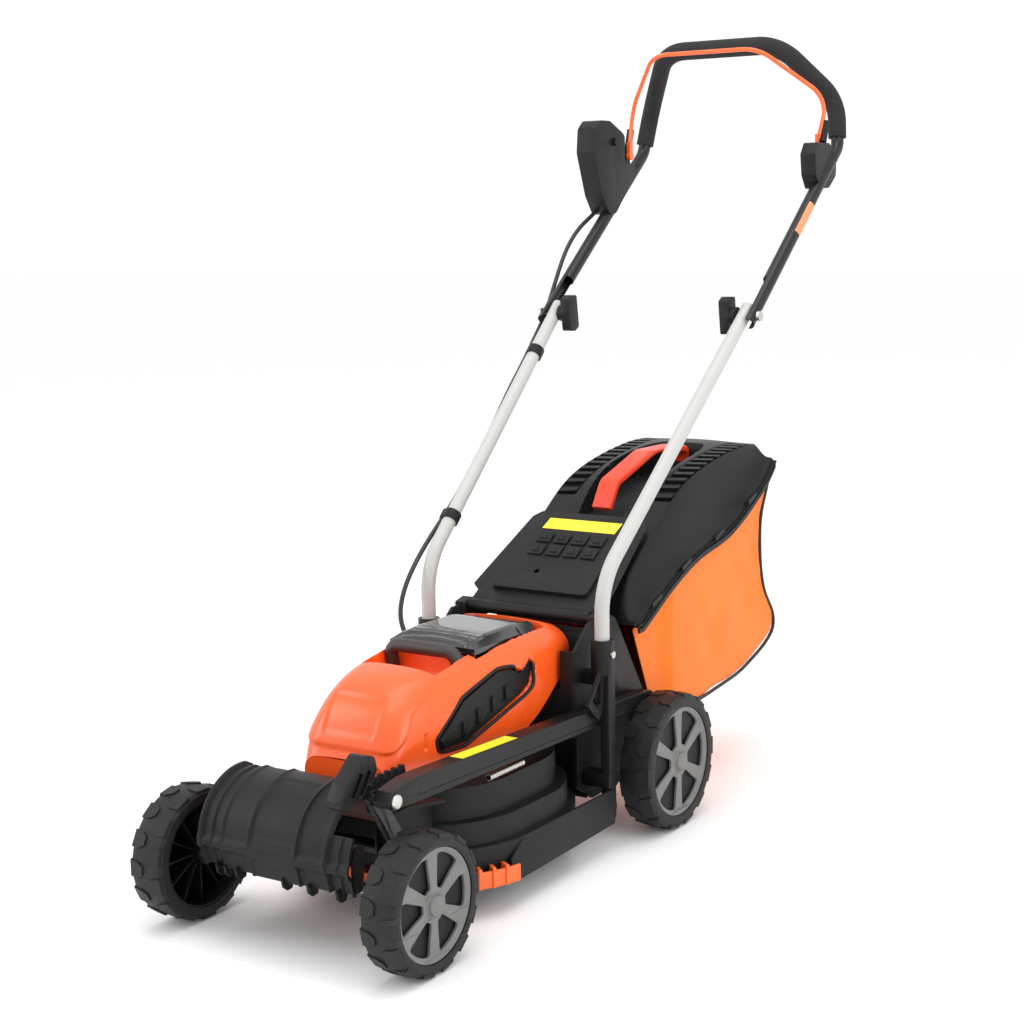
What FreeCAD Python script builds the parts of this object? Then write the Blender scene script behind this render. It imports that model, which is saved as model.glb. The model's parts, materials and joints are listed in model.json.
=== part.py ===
import FreeCAD, Part
import math
import os

# Cordless rotary push mower with a folding handle and a rear grass box.
# Millimetres. +Z is up, the nose faces -Y, the handle and the grass box are at +Y.
# Lengths along the machine are measured from the front axle and shifted once, on
# export, so that the row's origin is on the ground in the middle of the footprint.

Vector = FreeCAD.Vector

# ---------------------------------------------------------------- driving sizes
FRONT_R = 79.0            # front wheel radius
REAR_R = 91.0             # rear wheel radius
WHEELBASE = 549.0         # front axle to rear axle
FRONT_OUTER = 188.0       # outer face of a front tyre, from the middle plane
REAR_OUTER = 182.0        # outer face of a rear tyre
TYRE_W = 46.0             # tyre width
AXLE_R = 5.0              # axle rod radius
RUN_FIT = 0.06            # radial clearance of a wheel or a pin that turns
ORIGIN_Y = 503.805        # front axle to the middle of the overall length

CRANK = 50.0              # axle pivot behind its axle, front and rear
FRONT_PIVOT_Z = 108.0
REAR_PIVOT_Z = 95.0
PIN_FWD = 49.0            # link pin ahead of its pivot
PIN_UP = 77.0             # link pin above its pivot
LINK_IN = 111.0           # link bar, inner and outer faces
LINK_OUT = 134.0
PANEL_IN = 104.0          # rear side panels, inner and outer faces
PANEL_OUT = 109.0

DECK_MID_Y = 262.0        # blade axis
DECK_R = 152.0            # half width of the blade housing
DECK_LOW = 36.0           # lower edge of the housing
DECK_TOP = 150.0
WALL = 3.0                # moulded wall
BLADE_R = 142.0
BLADE_Z = 52.0

TUBE_R = 9.5              # lower handle tube
TUBE_X = 135.6            # tube at the socket, from the middle plane
TUBE_Y = 425.0
SOCKET_LOW = 236.0
SOCKET_TOP = 276.0
BEND_Z = 349.0            # where the tube turns back
BOLT_Y = 779.0            # fold axis of the upper handle
BOLT_Z = 666.0
BOLT_X = 156.0            # lower tube at the fold axis
UPPER_X = 168.0           # upper tube, from the middle plane
KINK_Y = 1064.0           # where the upper handle turns steep
KINK_Z = 905.0
SHOULDER = (160.0, 1078.0, 974.0)      # corner of the grip loop, leaning in
GRIP_END = (96.0, 1010.0, 1054.0)      # end of its cross bar, leaning forward
FOAM_R = 13.5

HINGE_Y = 465.0           # rear flap hinge
HINGE_Z = 291.0
LID_HINGE_Y = 381.0       # battery lid hinge
LID_HINGE_Z = 289.0
BAIL_Y = 1010.0           # bail pivot
BAIL_Z = 900.0
BAIL_SHOULDER = (167.0, 1030.0, 974.0)
BAIL_END = (88.0, 957.0, 1045.0)

shapes = {}


# ---------------------------------------------------------------- drawing helpers
def block(x0, x1, y0, y1, z0, z1):
    return Part.makeBox(x1 - x0, y1 - y0, z1 - z0, Vector(x0, y0, z0))


def rod_x(y, z, r, x0, x1):
    return Part.makeCylinder(r, x1 - x0, Vector(x0, y, z), Vector(1, 0, 0))


def rod_z(x, y, r, z0, z1):
    return Part.makeCylinder(r, z1 - z0, Vector(x, y, z0), Vector(0, 0, 1))


def corner_arc(before, here, after, radius, share=0.48):
    """Start, middle and end of the tangent arc that rounds one corner."""
    a = (before - here).normalize()
    b = (after - here).normalize()
    half = a.getAngle(b) / 2
    reach = min(radius / math.tan(half), share * (before - here).Length, share * (after - here).Length)
    radius = reach * math.tan(half)
    middle = (a + b).normalize()
    centre = here + middle * (radius / math.sin(half))
    return here + a * reach, centre - middle * radius, here + b * reach


def outline(points, radius):
    """Closed wire through the points, every corner rounded."""
    arcs = []
    for i, here in enumerate(points):
        arcs.append(corner_arc(points[i - 1], here, points[(i + 1) % len(points)], radius))
    edges = []
    for i, (start, middle, end) in enumerate(arcs):
        edges.append(Part.Arc(start, middle, end).toShape())
        edges.append(Part.LineSegment(end, arcs[(i + 1) % len(arcs)][0]).toShape())
    return Part.Wire(edges)


def polygon(points, radius):
    if radius > 0:
        return outline(points, radius)
    return Part.makePolygon(points + [points[0]])


def plate_x(points, x0, x1, radius=0.0):
    """Flat piece with its outline in Y and Z, from x0 to x1."""
    wire = polygon([Vector(x0, y, z) for y, z in points], radius)
    return Part.Face(wire).extrude(Vector(x1 - x0, 0, 0))


def plate_y(points, y0, y1, radius=0.0):
    wire = polygon([Vector(x, y0, z) for x, z in points], radius)
    return Part.Face(wire).extrude(Vector(0, y1 - y0, 0))


def plate_z(points, z0, z1, radius=0.0):
    wire = polygon([Vector(x, y, z0) for x, y in points], radius)
    return Part.Face(wire).extrude(Vector(0, 0, z1 - z0))


def route(points, radii, share=0.48):
    """Open wire of straight runs joined by tangent arcs."""
    edges = []
    last = points[0]
    for i in range(1, len(points) - 1):
        start, middle, end = corner_arc(points[i - 1], points[i], points[i + 1], radii[i - 1], share)
        if (start - last).Length > 0.01:
            edges.append(Part.LineSegment(last, start).toShape())
        edges.append(Part.Arc(start, middle, end).toShape())
        last = end
    edges.append(Part.LineSegment(last, points[-1]).toShape())
    return Part.Wire(edges)


def pipe(points, radii, r, share=0.48):
    path = route(points, radii, share)
    along = (points[1] - points[0]).normalize()
    ring = Part.Wire([Part.makeCircle(r, points[0], along)])
    return path.makePipeShell([ring], True, False)


def tube(points, radii, r, wall):
    """Hollow tube, open at both ends."""
    return pipe(points, radii, r, 0.9).cut(pipe(points, radii, r - wall, 0.9))


def mirror(shape):
    return shape.mirror(Vector(0, 0, 0), Vector(1, 0, 0))


def keep(name, shape):
    shapes[name] = shape


def keep_pair(name, shape):
    """A right-hand piece and its mirror image on the left."""
    keep(name + "_right", shape)
    keep(name + "_left", mirror(shape))


# ---------------------------------------------------------------- wheels
def lathe_x(points, y, z):
    """Ring turned about an axle: points are (x, radius)."""
    wire = polygon([Vector(x, y, z + r) for x, r in points], 0.0)
    return Part.Face(wire).revolve(Vector(0, y, z), Vector(1, 0, 0), 360)


def tyre(outer, y, radius):
    """Tyre with a flat tread, bevelled shoulders and moulded tread blocks."""
    inner = outer - TYRE_W
    rim = 0.80 * radius
    ring = lathe_x([(inner, rim), (inner, radius - 4), (inner + 5, radius - 1.6), (outer - 5, radius - 1.6),
                    (outer, radius - 5), (outer, rim)], y, radius)
    blocks = 15
    block_len = 2 * math.pi * radius / blocks * 0.62
    for i in range(blocks):
        for x0, x1, turn in ((inner + 4, inner + 19, 0.0), (outer - 19, outer - 4, 0.5)):
            lug = block(x0, x1, y - block_len / 2, y + block_len / 2, 2 * radius - 4, 2 * radius - 0.5)
            lug = lug.common(lathe_x([(x0, rim), (x0, radius), (x1, radius), (x1, rim)], y, radius))
            lug.rotate(Vector(0, y, radius), Vector(1, 0, 0), (i + turn) * 360 / blocks)
            ring = ring.fuse(lug)
    return ring.removeSplitter()


def wheel_core(outer, y, radius):
    """Black moulded wheel body: drum under the tyre, web, hub tube and ribs."""
    inner = outer - TYRE_W
    drum = 0.80 * radius - 0.2
    web = outer - 13
    core = lathe_x([(inner + 1, drum - 3), (inner + 1, drum), (web + 3, drum), (web + 3, 14), (outer - 6, 14),
                    (outer - 6, AXLE_R + RUN_FIT), (inner + 2, AXLE_R + RUN_FIT), (inner + 2, 12),
                    (web, 12), (web, drum - 3)], y, radius)
    for i in range(12):
        rib = block(inner + 12, web + 1, y - 1, y + 1, radius + 11, radius + drum - 2)
        rib.rotate(Vector(0, y, radius), Vector(1, 0, 0), i * 30)
        core = core.fuse(rib)
    return core.removeSplitter()


def wheel_cover(outer, y, radius):
    """Grey six-spoke cover with a raised round cap, clipped over the web."""
    rim = 0.80 * radius - 0.4
    front = outer - 1.5
    ring = lathe_x([(outer - 9, rim - 6), (outer - 9, rim), (front, rim), (front, rim - 4.5)], y, radius)
    hub = lathe_x([(outer - 5.5, 0.01), (outer - 5.5, 17), (outer - 2, 17), (outer + 1, 11.5), (outer + 1, 0.01)],
                  y, radius)
    cover = ring.fuse(hub)
    for i in range(6):
        spoke = plate_x([(y - 5, radius + 14.5), (y - 12, radius + rim - 3), (y + 12, radius + rim - 3),
                         (y + 5, radius + 14.5)], outer - 7, outer - 2.5)
        spoke.rotate(Vector(0, y, radius), Vector(1, 0, 0), 30 + i * 60)
        cover = cover.fuse(spoke)
    return cover.removeSplitter()


def make_wheels():
    for end, outer, y, radius in (("front", FRONT_OUTER, 0.0, FRONT_R), ("rear", REAR_OUTER, WHEELBASE, REAR_R)):
        keep_pair(end + "_tyre", tyre(outer, y, radius))
        keep_pair(end + "_wheel_core", wheel_core(outer, y, radius))
        keep_pair(end + "_wheel_cover", wheel_cover(outer, y, radius))


# ---------------------------------------------------------------- height adjustment
def axle(outer, y, z):
    """Steel rod right across the machine, ending inside the two hubs."""
    return rod_x(y, z, AXLE_R, 7 - outer, outer - 7)


def carrier(y, z, pivot_y, pivot_z, arm_x, crank_x):
    """Cross shaft on the pivot, an arm down to the axle at each side and a crank up to the link."""
    body = rod_x(pivot_y, pivot_z, 8, -arm_x - 6, crank_x + 6)
    arm = plate_x([(y - 11, z - 11), (y - 11, z + 11), (pivot_y, pivot_z + 12), (pivot_y + 12, pivot_z),
                   (pivot_y, pivot_z - 12)], arm_x - 6, arm_x, 4)
    crank_y = pivot_y - PIN_FWD
    crank_z = pivot_z + PIN_UP
    crank = plate_x([(pivot_y - 9, pivot_z - 8), (crank_y - 10, crank_z - 2), (crank_y - 4, crank_z + 9),
                     (crank_y + 9, crank_z + 5), (pivot_y + 10, pivot_z + 6)], crank_x, crank_x + 6, 4)
    body = body.fuse([arm, mirror(arm), crank]).removeSplitter()
    body = body.cut(rod_x(y, z, AXLE_R + RUN_FIT, -200, 200))
    return body.cut(rod_x(crank_y, crank_z, 4 + RUN_FIT, 0, 200))


def make_height_gear():
    front_y = CRANK
    rear_y = WHEELBASE + CRANK
    arm_x = LINK_IN - 10
    keep("front_axle_carrier", carrier(0, FRONT_R, front_y, FRONT_PIVOT_Z, arm_x, arm_x))
    keep("rear_axle_carrier", carrier(WHEELBASE, REAR_R, rear_y, REAR_PIVOT_Z, arm_x, PANEL_OUT + 2))
    keep("front_axle", axle(FRONT_OUTER, 0, FRONT_R))
    keep("rear_axle", axle(REAR_OUTER, WHEELBASE, REAR_R))

    # grip of the height lever: a D-shaped knob on the front crank, its flat side outwards
    pin_y = front_y - PIN_FWD
    pin_z = FRONT_PIVOT_Z + PIN_UP
    grip = plate_x([(-52, 186), (-38, 208), (-8, 234), (10, 228), (14, 210), (-8, 196), (-38, 178)],
                   arm_x - 20, arm_x, 9)
    grip = grip.fuse(plate_x([(-14, 186), (-14, 204), (pin_y + 6, 196), (pin_y + 6, 182)], arm_x - 8, arm_x))
    for y in (-14, 0):
        slot = plate_x([(y - 18, 194), (y - 12, 190), (y + 4, 212), (y - 2, 216)], arm_x - 5, arm_x + 1)
        grip = grip.cut(slot)
    grip = grip.cut(rod_x(pin_y, pin_z, 4 + RUN_FIT, 0, 200))
    keep("height_lever_grip", grip.removeSplitter())

    # link bar: a channel, open downwards, with a boss at each pin
    rear_pin_y = rear_y - PIN_FWD
    rear_pin_z = REAR_PIVOT_Z + PIN_UP
    side = [(pin_y + 26, pin_z - 11), (pin_y - 4, pin_z - 9), (pin_y - 12, pin_z), (pin_y - 2, pin_z + 10),
            (pin_y + 30, pin_z + 16), (pin_y + 60, pin_z + 16), (rear_pin_y - 100, rear_pin_z + 15),
            (rear_pin_y, rear_pin_z + 10), (rear_pin_y + 11, rear_pin_z), (rear_pin_y, rear_pin_z - 10)]
    bar = plate_x(side, LINK_IN, LINK_OUT, 3)
    inner = [(y, z - 2.5 if z > rear_pin_z + 5 else z - 20) for y, z in side[4:7]]
    floor_z = pin_z - 40
    hollow = plate_x([(pin_y + 30, floor_z), (pin_y + 30, inner[0][1]), (pin_y + 60, inner[1][1]),
                      (rear_pin_y - 100, inner[2][1]), (rear_pin_y - 60, inner[2][1] - 3),
                      (rear_pin_y - 60, floor_z)], LINK_IN + 2.5, LINK_OUT - 2.5)
    bar = bar.cut(hollow)
    recess = plate_x([(pin_y + 40, pin_z - 4), (pin_y + 40, pin_z + 9), (rear_pin_y - 70, rear_pin_z + 9),
                      (rear_pin_y - 70, rear_pin_z - 4)], LINK_OUT - 1, LINK_OUT + 1, 3)
    bar = bar.cut(recess)
    bar = bar.cut(rod_x(pin_y, pin_z, 4 + RUN_FIT, 0, 200)).cut(rod_x(rear_pin_y, rear_pin_z, 7, 0, 200))
    # the rear half is narrower, where it runs outside the side panel and the rear crank
    bar = bar.cut(block(100, PANEL_OUT + 9, 392, 600, 100, 240))
    keep("link_bar", bar)
    front_pin = rod_x(pin_y, pin_z, 4, arm_x - 8, LINK_OUT).fuse(rod_x(pin_y, pin_z, 8, LINK_OUT, LINK_OUT + 4))
    keep("link_screw", front_pin.removeSplitter())

    # notched plate beside the lever, fixed to the housing
    rack = plate_x([(14, 160), (14, 193), (76, 193), (96, 160)], 84, 90, 3)
    for i in range(5):
        tooth_y = 20 + i * 12.5
        rack = rack.fuse(plate_x([(tooth_y, 191), (tooth_y, 200), (tooth_y + 5, 200), (tooth_y + 7, 191)], 84, 90))
    foot = block(74, 90, 60, 96, 157, 161)
    keep("height_rack", rack.fuse(foot).removeSplitter())

    # tension spring that lightens the lever, drawn as its outer sleeve of turns
    spring = rod_x(0, 0, 4.5, 0, 70).cut(rod_x(0, 0, 3, -1, 71))
    for i in range(12):
        groove = rod_x(0, 0, 6, 3 + i * 5.4, 5.4 + i * 5.4).cut(rod_x(0, 0, 4, 0, 70))
        spring = spring.cut(groove)
    spring.rotate(Vector(0, 0, 0), Vector(0, 0, 1), 90)
    spring.translate(Vector(122, 190, 158))
    keep("height_spring", spring)


# ---------------------------------------------------------------- blade housing and chassis
def ring_section(r, y_front, y_rear, z):
    """Plan outline of the housing at one height: a round sides, straight ends wire."""
    return outline([Vector(-r, y_front, z), Vector(r, y_front, z), Vector(r, y_rear, z), Vector(-r, y_rear, z)],
                   min(r * 0.9, (y_rear - y_front) * 0.45))


def dome(inset):
    """Stepped housing body, drawn in from its outer face by inset."""
    steps = [(DECK_R, 96, 428, DECK_LOW, 84), (DECK_R - 12, 104, 420, 78, 112), (DECK_R - 28, 116, 408, 108, DECK_TOP)]
    body = None
    for r, y0, y1, z0, z1 in steps:
        low = z0 - 1 if inset else z0
        if inset and z0 > DECK_LOW:
            low = z0 - 8
        wire = ring_section(r - inset, y0 + inset, y1 - inset, low)
        piece = Part.Face(wire).extrude(Vector(0, 0, z1 - inset - low))
        body = piece if body is None else body.fuse(piece)
    return body


COVER_SCREWS = [(-66, 150), (66, 150), (-66, 376), (66, 376)]


def make_deck():
    deck = dome(0).cut(dome(WALL))
    # floor of the front bay that joins the housing to the nose, and its side walls
    bay = plate_z([(-92, 20), (92, 20), (92, 82), (112, 120), (-112, 120), (-92, 82)], 146, 150)
    side = plate_x([(20, 92), (20, 150), (120, 150), (120, 60), (80, 70)], 89, 92)
    shell = deck.fuse([bay, side, mirror(side)])
    # platform for the motor and the battery
    shell = shell.fuse(plate_z([(-72, 130), (72, 130), (72, 390), (-72, 390)], DECK_TOP - WALL, DECK_TOP + 4, 10))
    # side skirts, straight between the wheels, with sloping ends
    skirt = plate_x([(206, 34), (190, 62), (214, 80), (300, 84), (424, 84), (430, 60), (424, 38)],
                    DECK_R - 3, DECK_R, 3)
    shell = shell.fuse([skirt, mirror(skirt)])
    # clearances: spindle, front carrier shaft, chute mouth at the back
    shell = shell.cut(rod_z(0, DECK_MID_Y, 16, 140, 160))
    swept = rod_x(CRANK, FRONT_PIVOT_Z, 8 + 0.06, -120, 120)
    shell = shell.cut(swept)
    shell = shell.cut(block(-88, 88, 400, 440, 62, 142))
    for x, y in COVER_SCREWS:
        shell = shell.cut(rod_z(x, y, 2.4, 140, 160))
    keep("deck", shell.removeSplitter())

    # orange ribbed comb round the front lower edge of the housing
    ledge = housing_band(12, 38, 5).fuse(housing_band(12, 38, 20).cut(housing_band(9, 38, 20)))
    ribs = block(-2.2, 2.2, 60, DECK_MID_Y, 38, 62)
    for i in range(-11, 12):
        rib = block(-2.2, 2.2, 60, DECK_MID_Y, 38, 62)
        rib.rotate(Vector(0, DECK_MID_Y, 0), Vector(0, 0, 1), i * 5.6)
        ribs = ribs.fuse(rib)
    comb = ledge.fuse(ribs.common(housing_band(14, 38, 24)))
    comb = comb.common(block(-200, 200, 0, 198, 0, 200)).cut(dome(0))
    keep("grass_comb", biggest(comb.removeSplitter()))


def housing_band(grow, z, height):
    """The housing's plan outline grown outwards, as a plate."""
    return Part.Face(ring_section(DECK_R + grow, 96 - grow, 428 + grow, z)).extrude(Vector(0, 0, height))


def biggest(shape):
    """The main solid of a cut, without loose scraps."""
    return max(shape.Solids, key=lambda solid: solid.Volume)


def make_nose():
    """Quarter-drum cover between the front wheels."""
    drum_y = 24.0
    drum_z = 114.0
    r = 74.0

    def drum(radius, x0, x1):
        low = 82.0
        points = [Vector(x0, drum_y - radius, drum_z)]
        points.append(Vector(x0, drum_y, drum_z + radius))
        across = Part.Arc(points[0], Vector(x0, drum_y - radius * 0.7071, drum_z + radius * 0.7071), points[1])
        back = Vector(x0, drum_y + 18, drum_z + radius - 4)
        rear_low = Vector(x0, drum_y + 18, 92)
        front_low = Vector(x0, drum_y - radius + 4, low)
        wire = Part.Wire([across.toShape(), Part.LineSegment(points[1], back).toShape(),
                          Part.LineSegment(back, rear_low).toShape(),
                          Part.LineSegment(rear_low, front_low).toShape(),
                          Part.LineSegment(front_low, points[0]).toShape()])
        return Part.Face(wire).extrude(Vector(x1 - x0, 0, 0))

    body = drum(r - 6, -104, 104)
    body = body.fuse([drum(r, -36, 36), drum(r - 3, 36, 78), drum(r - 3, -78, -36)])
    body = body.fuse([drum(r + 1, -108, -103), drum(r + 1, 103, 108), drum(r, -76, -71)])
    lip = plate_x([(-51, 110), (-51, 117), (-30, 120), (-30, 108)], -108, 108)
    body = body.fuse(lip)
    hollow = drum(r - 9, -102, 102)
    hollow = hollow.fuse(block(-102, 102, drum_y - 62, drum_y + 40, 60, 92))
    body = body.cut(hollow).cut(block(-102, 102, drum_y + 8, drum_y + 30, 60, 182))
    for x in (-98, -84, -68, 8, 44, 92):
        tab = rod_x(-30, 86, 9, x - 1.5, x + 1.5).common(block(-200, 200, -60, 0, 60, 90))
        body = body.fuse(tab)
    # slots for the front axle and for the lever crank
    slot = rod_x(0, FRONT_R, AXLE_R + 3, -120, 120).fuse(rod_x(-8, FRONT_R + 25, AXLE_R + 3, -120, 120))
    slot = slot.fuse(plate_x([(-8, FRONT_R), (8, FRONT_R), (0, FRONT_R + 25), (-16, FRONT_R + 25)], -120, 120))
    body = body.cut(slot)
    body = body.cut(rod_x(CRANK, FRONT_PIVOT_Z, 12, -130, 130))
    # the right-hand wall stops short of the crank's swing
    body = body.cut(block(100.5, 112, -16, 60, 90, 200))
    body = body.cut(block(76, 112, -70, 60, 150, 240))
    keep("nose_cover", biggest(body.removeSplitter()))


def make_rear_frame():
    """Side plates, cross wall and discharge chute behind the housing."""
    side = plate_x([(404, 84), (404, 262), (438, 291), (490, 293), (503, 286), (576, 168), (600, 118), (608, 78),
                    (560, 66), (440, 60)], PANEL_IN, PANEL_OUT, 3)
    for y, z in ((WHEELBASE, REAR_R), (WHEELBASE + 1.5, REAR_R + 11), (WHEELBASE + 3, REAR_R + 22)):
        side = side.cut(rod_x(y, z, AXLE_R + 4, 100, 130))
    side = side.cut(rod_x(WHEELBASE + CRANK, REAR_PIVOT_Z, 8.06, 100, 130))
    pivot_boss = rod_x(WHEELBASE + CRANK, REAR_PIVOT_Z, 13, PANEL_IN - 2, PANEL_OUT + 1).cut(
        rod_x(WHEELBASE + CRANK, REAR_PIVOT_Z, 8.06, 100, 130))
    wall = block(-PANEL_OUT, PANEL_OUT, 396, 405, 150, 262)
    wall = wall.cut(block(-PANEL_IN, PANEL_IN, 399, 410, 140, 280)).cut(block(-90, 90, 390, 410, 212, 280))
    ramp = plate_x([(426, 64), (426, 68), (500, 136), (520, 150), (522, 146), (502, 131)], -PANEL_OUT, PANEL_OUT)
    roof = plate_x([(404, 142), (404, 146), (440, 200), (452, 272), (456, 272), (444, 198)], -PANEL_OUT, PANEL_OUT)
    frame = side.fuse([mirror(side), pivot_boss, mirror(pivot_boss), wall, ramp, roof])
    for x in (-112, 96):
        ear = plate_x([(HINGE_Y - 12, 268), (HINGE_Y - 12, HINGE_Z + 5), (HINGE_Y + 8, HINGE_Z + 10),
                       (HINGE_Y + 12, 268)], x, x + 16, 3)
        frame = frame.fuse(ear)
    tie = block(-PANEL_OUT, PANEL_OUT, HINGE_Y - 12, HINGE_Y - 8, 262, 280)
    frame = frame.fuse(tie)
    frame = frame.cut(rod_x(HINGE_Y, HINGE_Z, 3.06, -130, 130))
    frame = frame.cut(rod_x(HINGE_Y, HINGE_Z, 10.5, -95, 95))
    frame = frame.cut(dome(0))
    keep("rear_frame", biggest(frame.removeSplitter()))
    keep("flap_hinge_rod", rod_x(HINGE_Y, HINGE_Z, 3, -121, 121))


def make_tubes():
    """Sockets, struts and the silver lower tubes."""
    strut = plate_x([(417, 44), (417, SOCKET_LOW + 4), (433, SOCKET_LOW + 4), (433, 44)], 137, 149, 3)
    foot = block(PANEL_OUT, 150, 414, 436, 86, 104)
    socket = rod_z(TUBE_X, TUBE_Y, TUBE_R + 5, SOCKET_LOW - 4, SOCKET_TOP)
    neck = block(PANEL_OUT, 142, 416, 434, SOCKET_LOW - 18, SOCKET_LOW - 2)
    gusset = plate_x([(380, 200), (417, 245), (417, 188), (404, 176)], 137, 142)
    gusset = gusset.cut(plate_x([(390, 204), (410, 228), (410, 196), (404, 190)], 130, 150))
    socket = socket.fuse([strut, foot, neck, gusset]).removeSplitter()
    socket = socket.cut(rod_z(TUBE_X, TUBE_Y, TUBE_R + 0.1, SOCKET_LOW, SOCKET_TOP + 5))
    hole = Part.makeCylinder(2.5, 60, Vector(TUBE_X - 30, TUBE_Y, 258), Vector(1, 0, 0))
    keep_pair("tube_socket", socket.cut(hole))

    top = Vector(BOLT_X, BOLT_Y, BOLT_Z)
    bend = Vector(TUBE_X, TUBE_Y, BEND_Z)
    end = top + (top - bend).normalize() * 17
    lower = tube([Vector(TUBE_X, TUBE_Y, SOCKET_LOW), bend, end], [95], TUBE_R, 1.5)
    lower = lower.cut(rod_x(BOLT_Y, BOLT_Z, 3.1, 100, 200)).cut(hole)
    keep_pair("lower_tube", lower)

    # pan-head screws: one through each socket, four that hold the motor cover
    screws = []
    for sign in (1, -1):
        base = Vector(sign * (TUBE_X - 15), TUBE_Y, 258)
        axis = Vector(sign, 0, 0)
        shank = Part.makeCylinder(2.4, 29.5, base, axis)
        head = Part.makeCylinder(4.5, 2.5, base + axis * 29.5, axis)
        screws.append(shank.fuse(head))
    for x, y in COVER_SCREWS:
        screws.append(rod_z(x, y, 2.4, 143, 154).fuse(rod_z(x, y, 4.5, 154, 156.5)))
    keep("body_screws", Part.makeCompound([screw.removeSplitter() for screw in screws]))


# ---------------------------------------------------------------- motor cover and what it holds
COVER_STATIONS = [
    # y, half width at the bottom, half width at the top, bottom z, shoulder z, top z
    (80, 60, 50, 158, 176, 190), (96, 66, 46, 158, 205, 232), (120, 71, 46, 158, 225, 262),
    (170, 78, 52, 160, 246, 279), (240, 83, 58, 166, 262, 288), (300, 86, 62, 172, 272, 294),
    (350, 86, 62, 190, 276, 296), (400, 84, 62, 221, 276, 296), (436, 78, 58, 238, 268, 286)]


def cover_section(y, bottom, top, low, shoulder, high, inset):
    points = [Vector(-bottom + inset, y, low), Vector(-bottom + inset, y, shoulder - inset * 0.6),
              Vector(-top + inset * 0.6, y, high - inset), Vector(top - inset * 0.6, y, high - inset),
              Vector(bottom - inset, y, shoulder - inset * 0.6), Vector(bottom - inset, y, low)]
    return outline(points, 10)


def make_motor_cover():
    wires = [cover_section(*station, 0.0) for station in COVER_STATIONS]
    skin = Part.makeLoft(wires, True, True)
    inner = [cover_section(y + dy, b, t, low - drop, s, h, WALL)
             for (y, b, t, low, s, h), dy, drop in zip(COVER_STATIONS, (4, 0, 0, 0, 0, 0, 0, 0, -4),
                                                      (9, 9, 9, 9, 9, 9, 14, 18, 12))]
    cover = skin.cut(Part.makeLoft(inner, True, True))
    # open underside
    cover = cover.cut(plate_x([(60, 140), (60, 158.5), (170, 160.5), (240, 166), (300, 172), (350, 190), (400, 221),
                               (428, 232), (428, 140)], -74, 74))
    # hollow under the carry handle, with a floor, then the battery bay
    scoop = plate_x([(176, 300), (184, 262), (196, 248), (238, 248), (246, 262), (246, 310)], -54, 54, 6)
    scoop_wall = plate_x([(174, 281), (181, 260), (194, 245), (240, 245), (249, 262), (249, 290)], -57, 57, 6)
    cover = cover.fuse(scoop_wall.common(skin)).cut(scoop)
    bay_wall = block(-63, 63, 248, 377, 206, 292).cut(block(-60, 60, 251, 374, 209, 320))
    cover = cover.fuse(bay_wall.common(skin)).cut(block(-60, 60, 251, 374, 209.5, 320))
    # seat for the lid
    seat = block(-66, 66, 247.5, 396, 283, 320)
    cover = cover.cut(seat)
    # recess for the side vents and the slit ahead of them
    for sign in (1, -1):
        vent = vent_outline(70, 100)
        if sign < 0:
            vent = mirror(vent)
        cover = cover.cut(vent)
    keep("motor_cover", biggest(cover.cut(shapes["carry_handle"]).removeSplitter()))


def vent_outline(x0, x1):
    return plate_x([(152, 204), (160, 192), (204, 190), (318, 222), (338, 232), (346, 254), (334, 264), (318, 252),
                    (296, 262), (270, 264), (200, 244)], x0, x1, 3)


def make_vents():
    """Black ribbed insert that fills the recess in each side of the cover."""
    plate = vent_outline(74.2, 77.2)
    grow = plate_x([(156, 204), (162, 194), (204, 192.5), (317, 224), (336, 233), (343.5, 253), (334, 261),
                    (318, 249.5), (296, 259.5), (270, 261.5), (200, 241.5)], 77, 82.5, 2)
    insert = plate.fuse(grow)
    for y, z in ((196, 208), (226, 216), (256, 224), (284, 231)):
        insert = insert.fuse(plate_x([(y - 2, z - 8), (y - 2, z + 10), (y + 3, z + 12), (y + 3, z - 8)], 82, 86, 1))
        insert = insert.cut(plate_x([(y + 5, z - 6), (y + 5, z + 8), (y + 8, z + 9), (y + 8, z - 6)], 70, 90))
    insert = insert.cut(Part.makeLoft([cover_section(*station, WALL + 3.5) for station in COVER_STATIONS], True, True))
    keep_pair("vent_insert", biggest(insert.removeSplitter()))


def make_carry_handle():
    bar = pipe([Vector(-50, 238, 256), Vector(-50, 232, 290), Vector(50, 232, 290), Vector(50, 238, 256)],
               [16, 16], 8.5)
    bar = bar.common(block(-70, 70, 200, 250, 250.5, 320))
    keep("carry_handle", bar)


def make_drive():
    keep("motor", motor_can())
    keep("controller_board", block(-55, 55, 88, 150, 168, 171).fuse(
        [block(-40, -10, 98, 130, 171, 182), rod_z(24, 112, 8, 171, 190)]).removeSplitter())
    pack = block(-57, 57, 256, 370, 212, 278)
    pack = pack.cut(block(-46, 46, 250, 262, 250, 290))
    keep("battery_pack", pack)
    key = block(28, 40, 257, 261, 262, 280).fuse(rod_y_disc(34, 254.5, 273))
    keep("safety_key", key.common(block(20, 50, 251.5, 262, 250, 282)))


def rod_y_disc(x, y, z):
    return Part.makeCylinder(8, 6, Vector(x, y - 2, z), Vector(0, 1, 0))


def motor_can():
    top = DECK_TOP + 4
    can = rod_z(0, DECK_MID_Y, 44, top, 198)
    can = can.fuse(rod_z(0, DECK_MID_Y, 14, 142, top))
    return can.cut(rod_z(0, DECK_MID_Y, 5.06, 140, 180)).removeSplitter()


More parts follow.
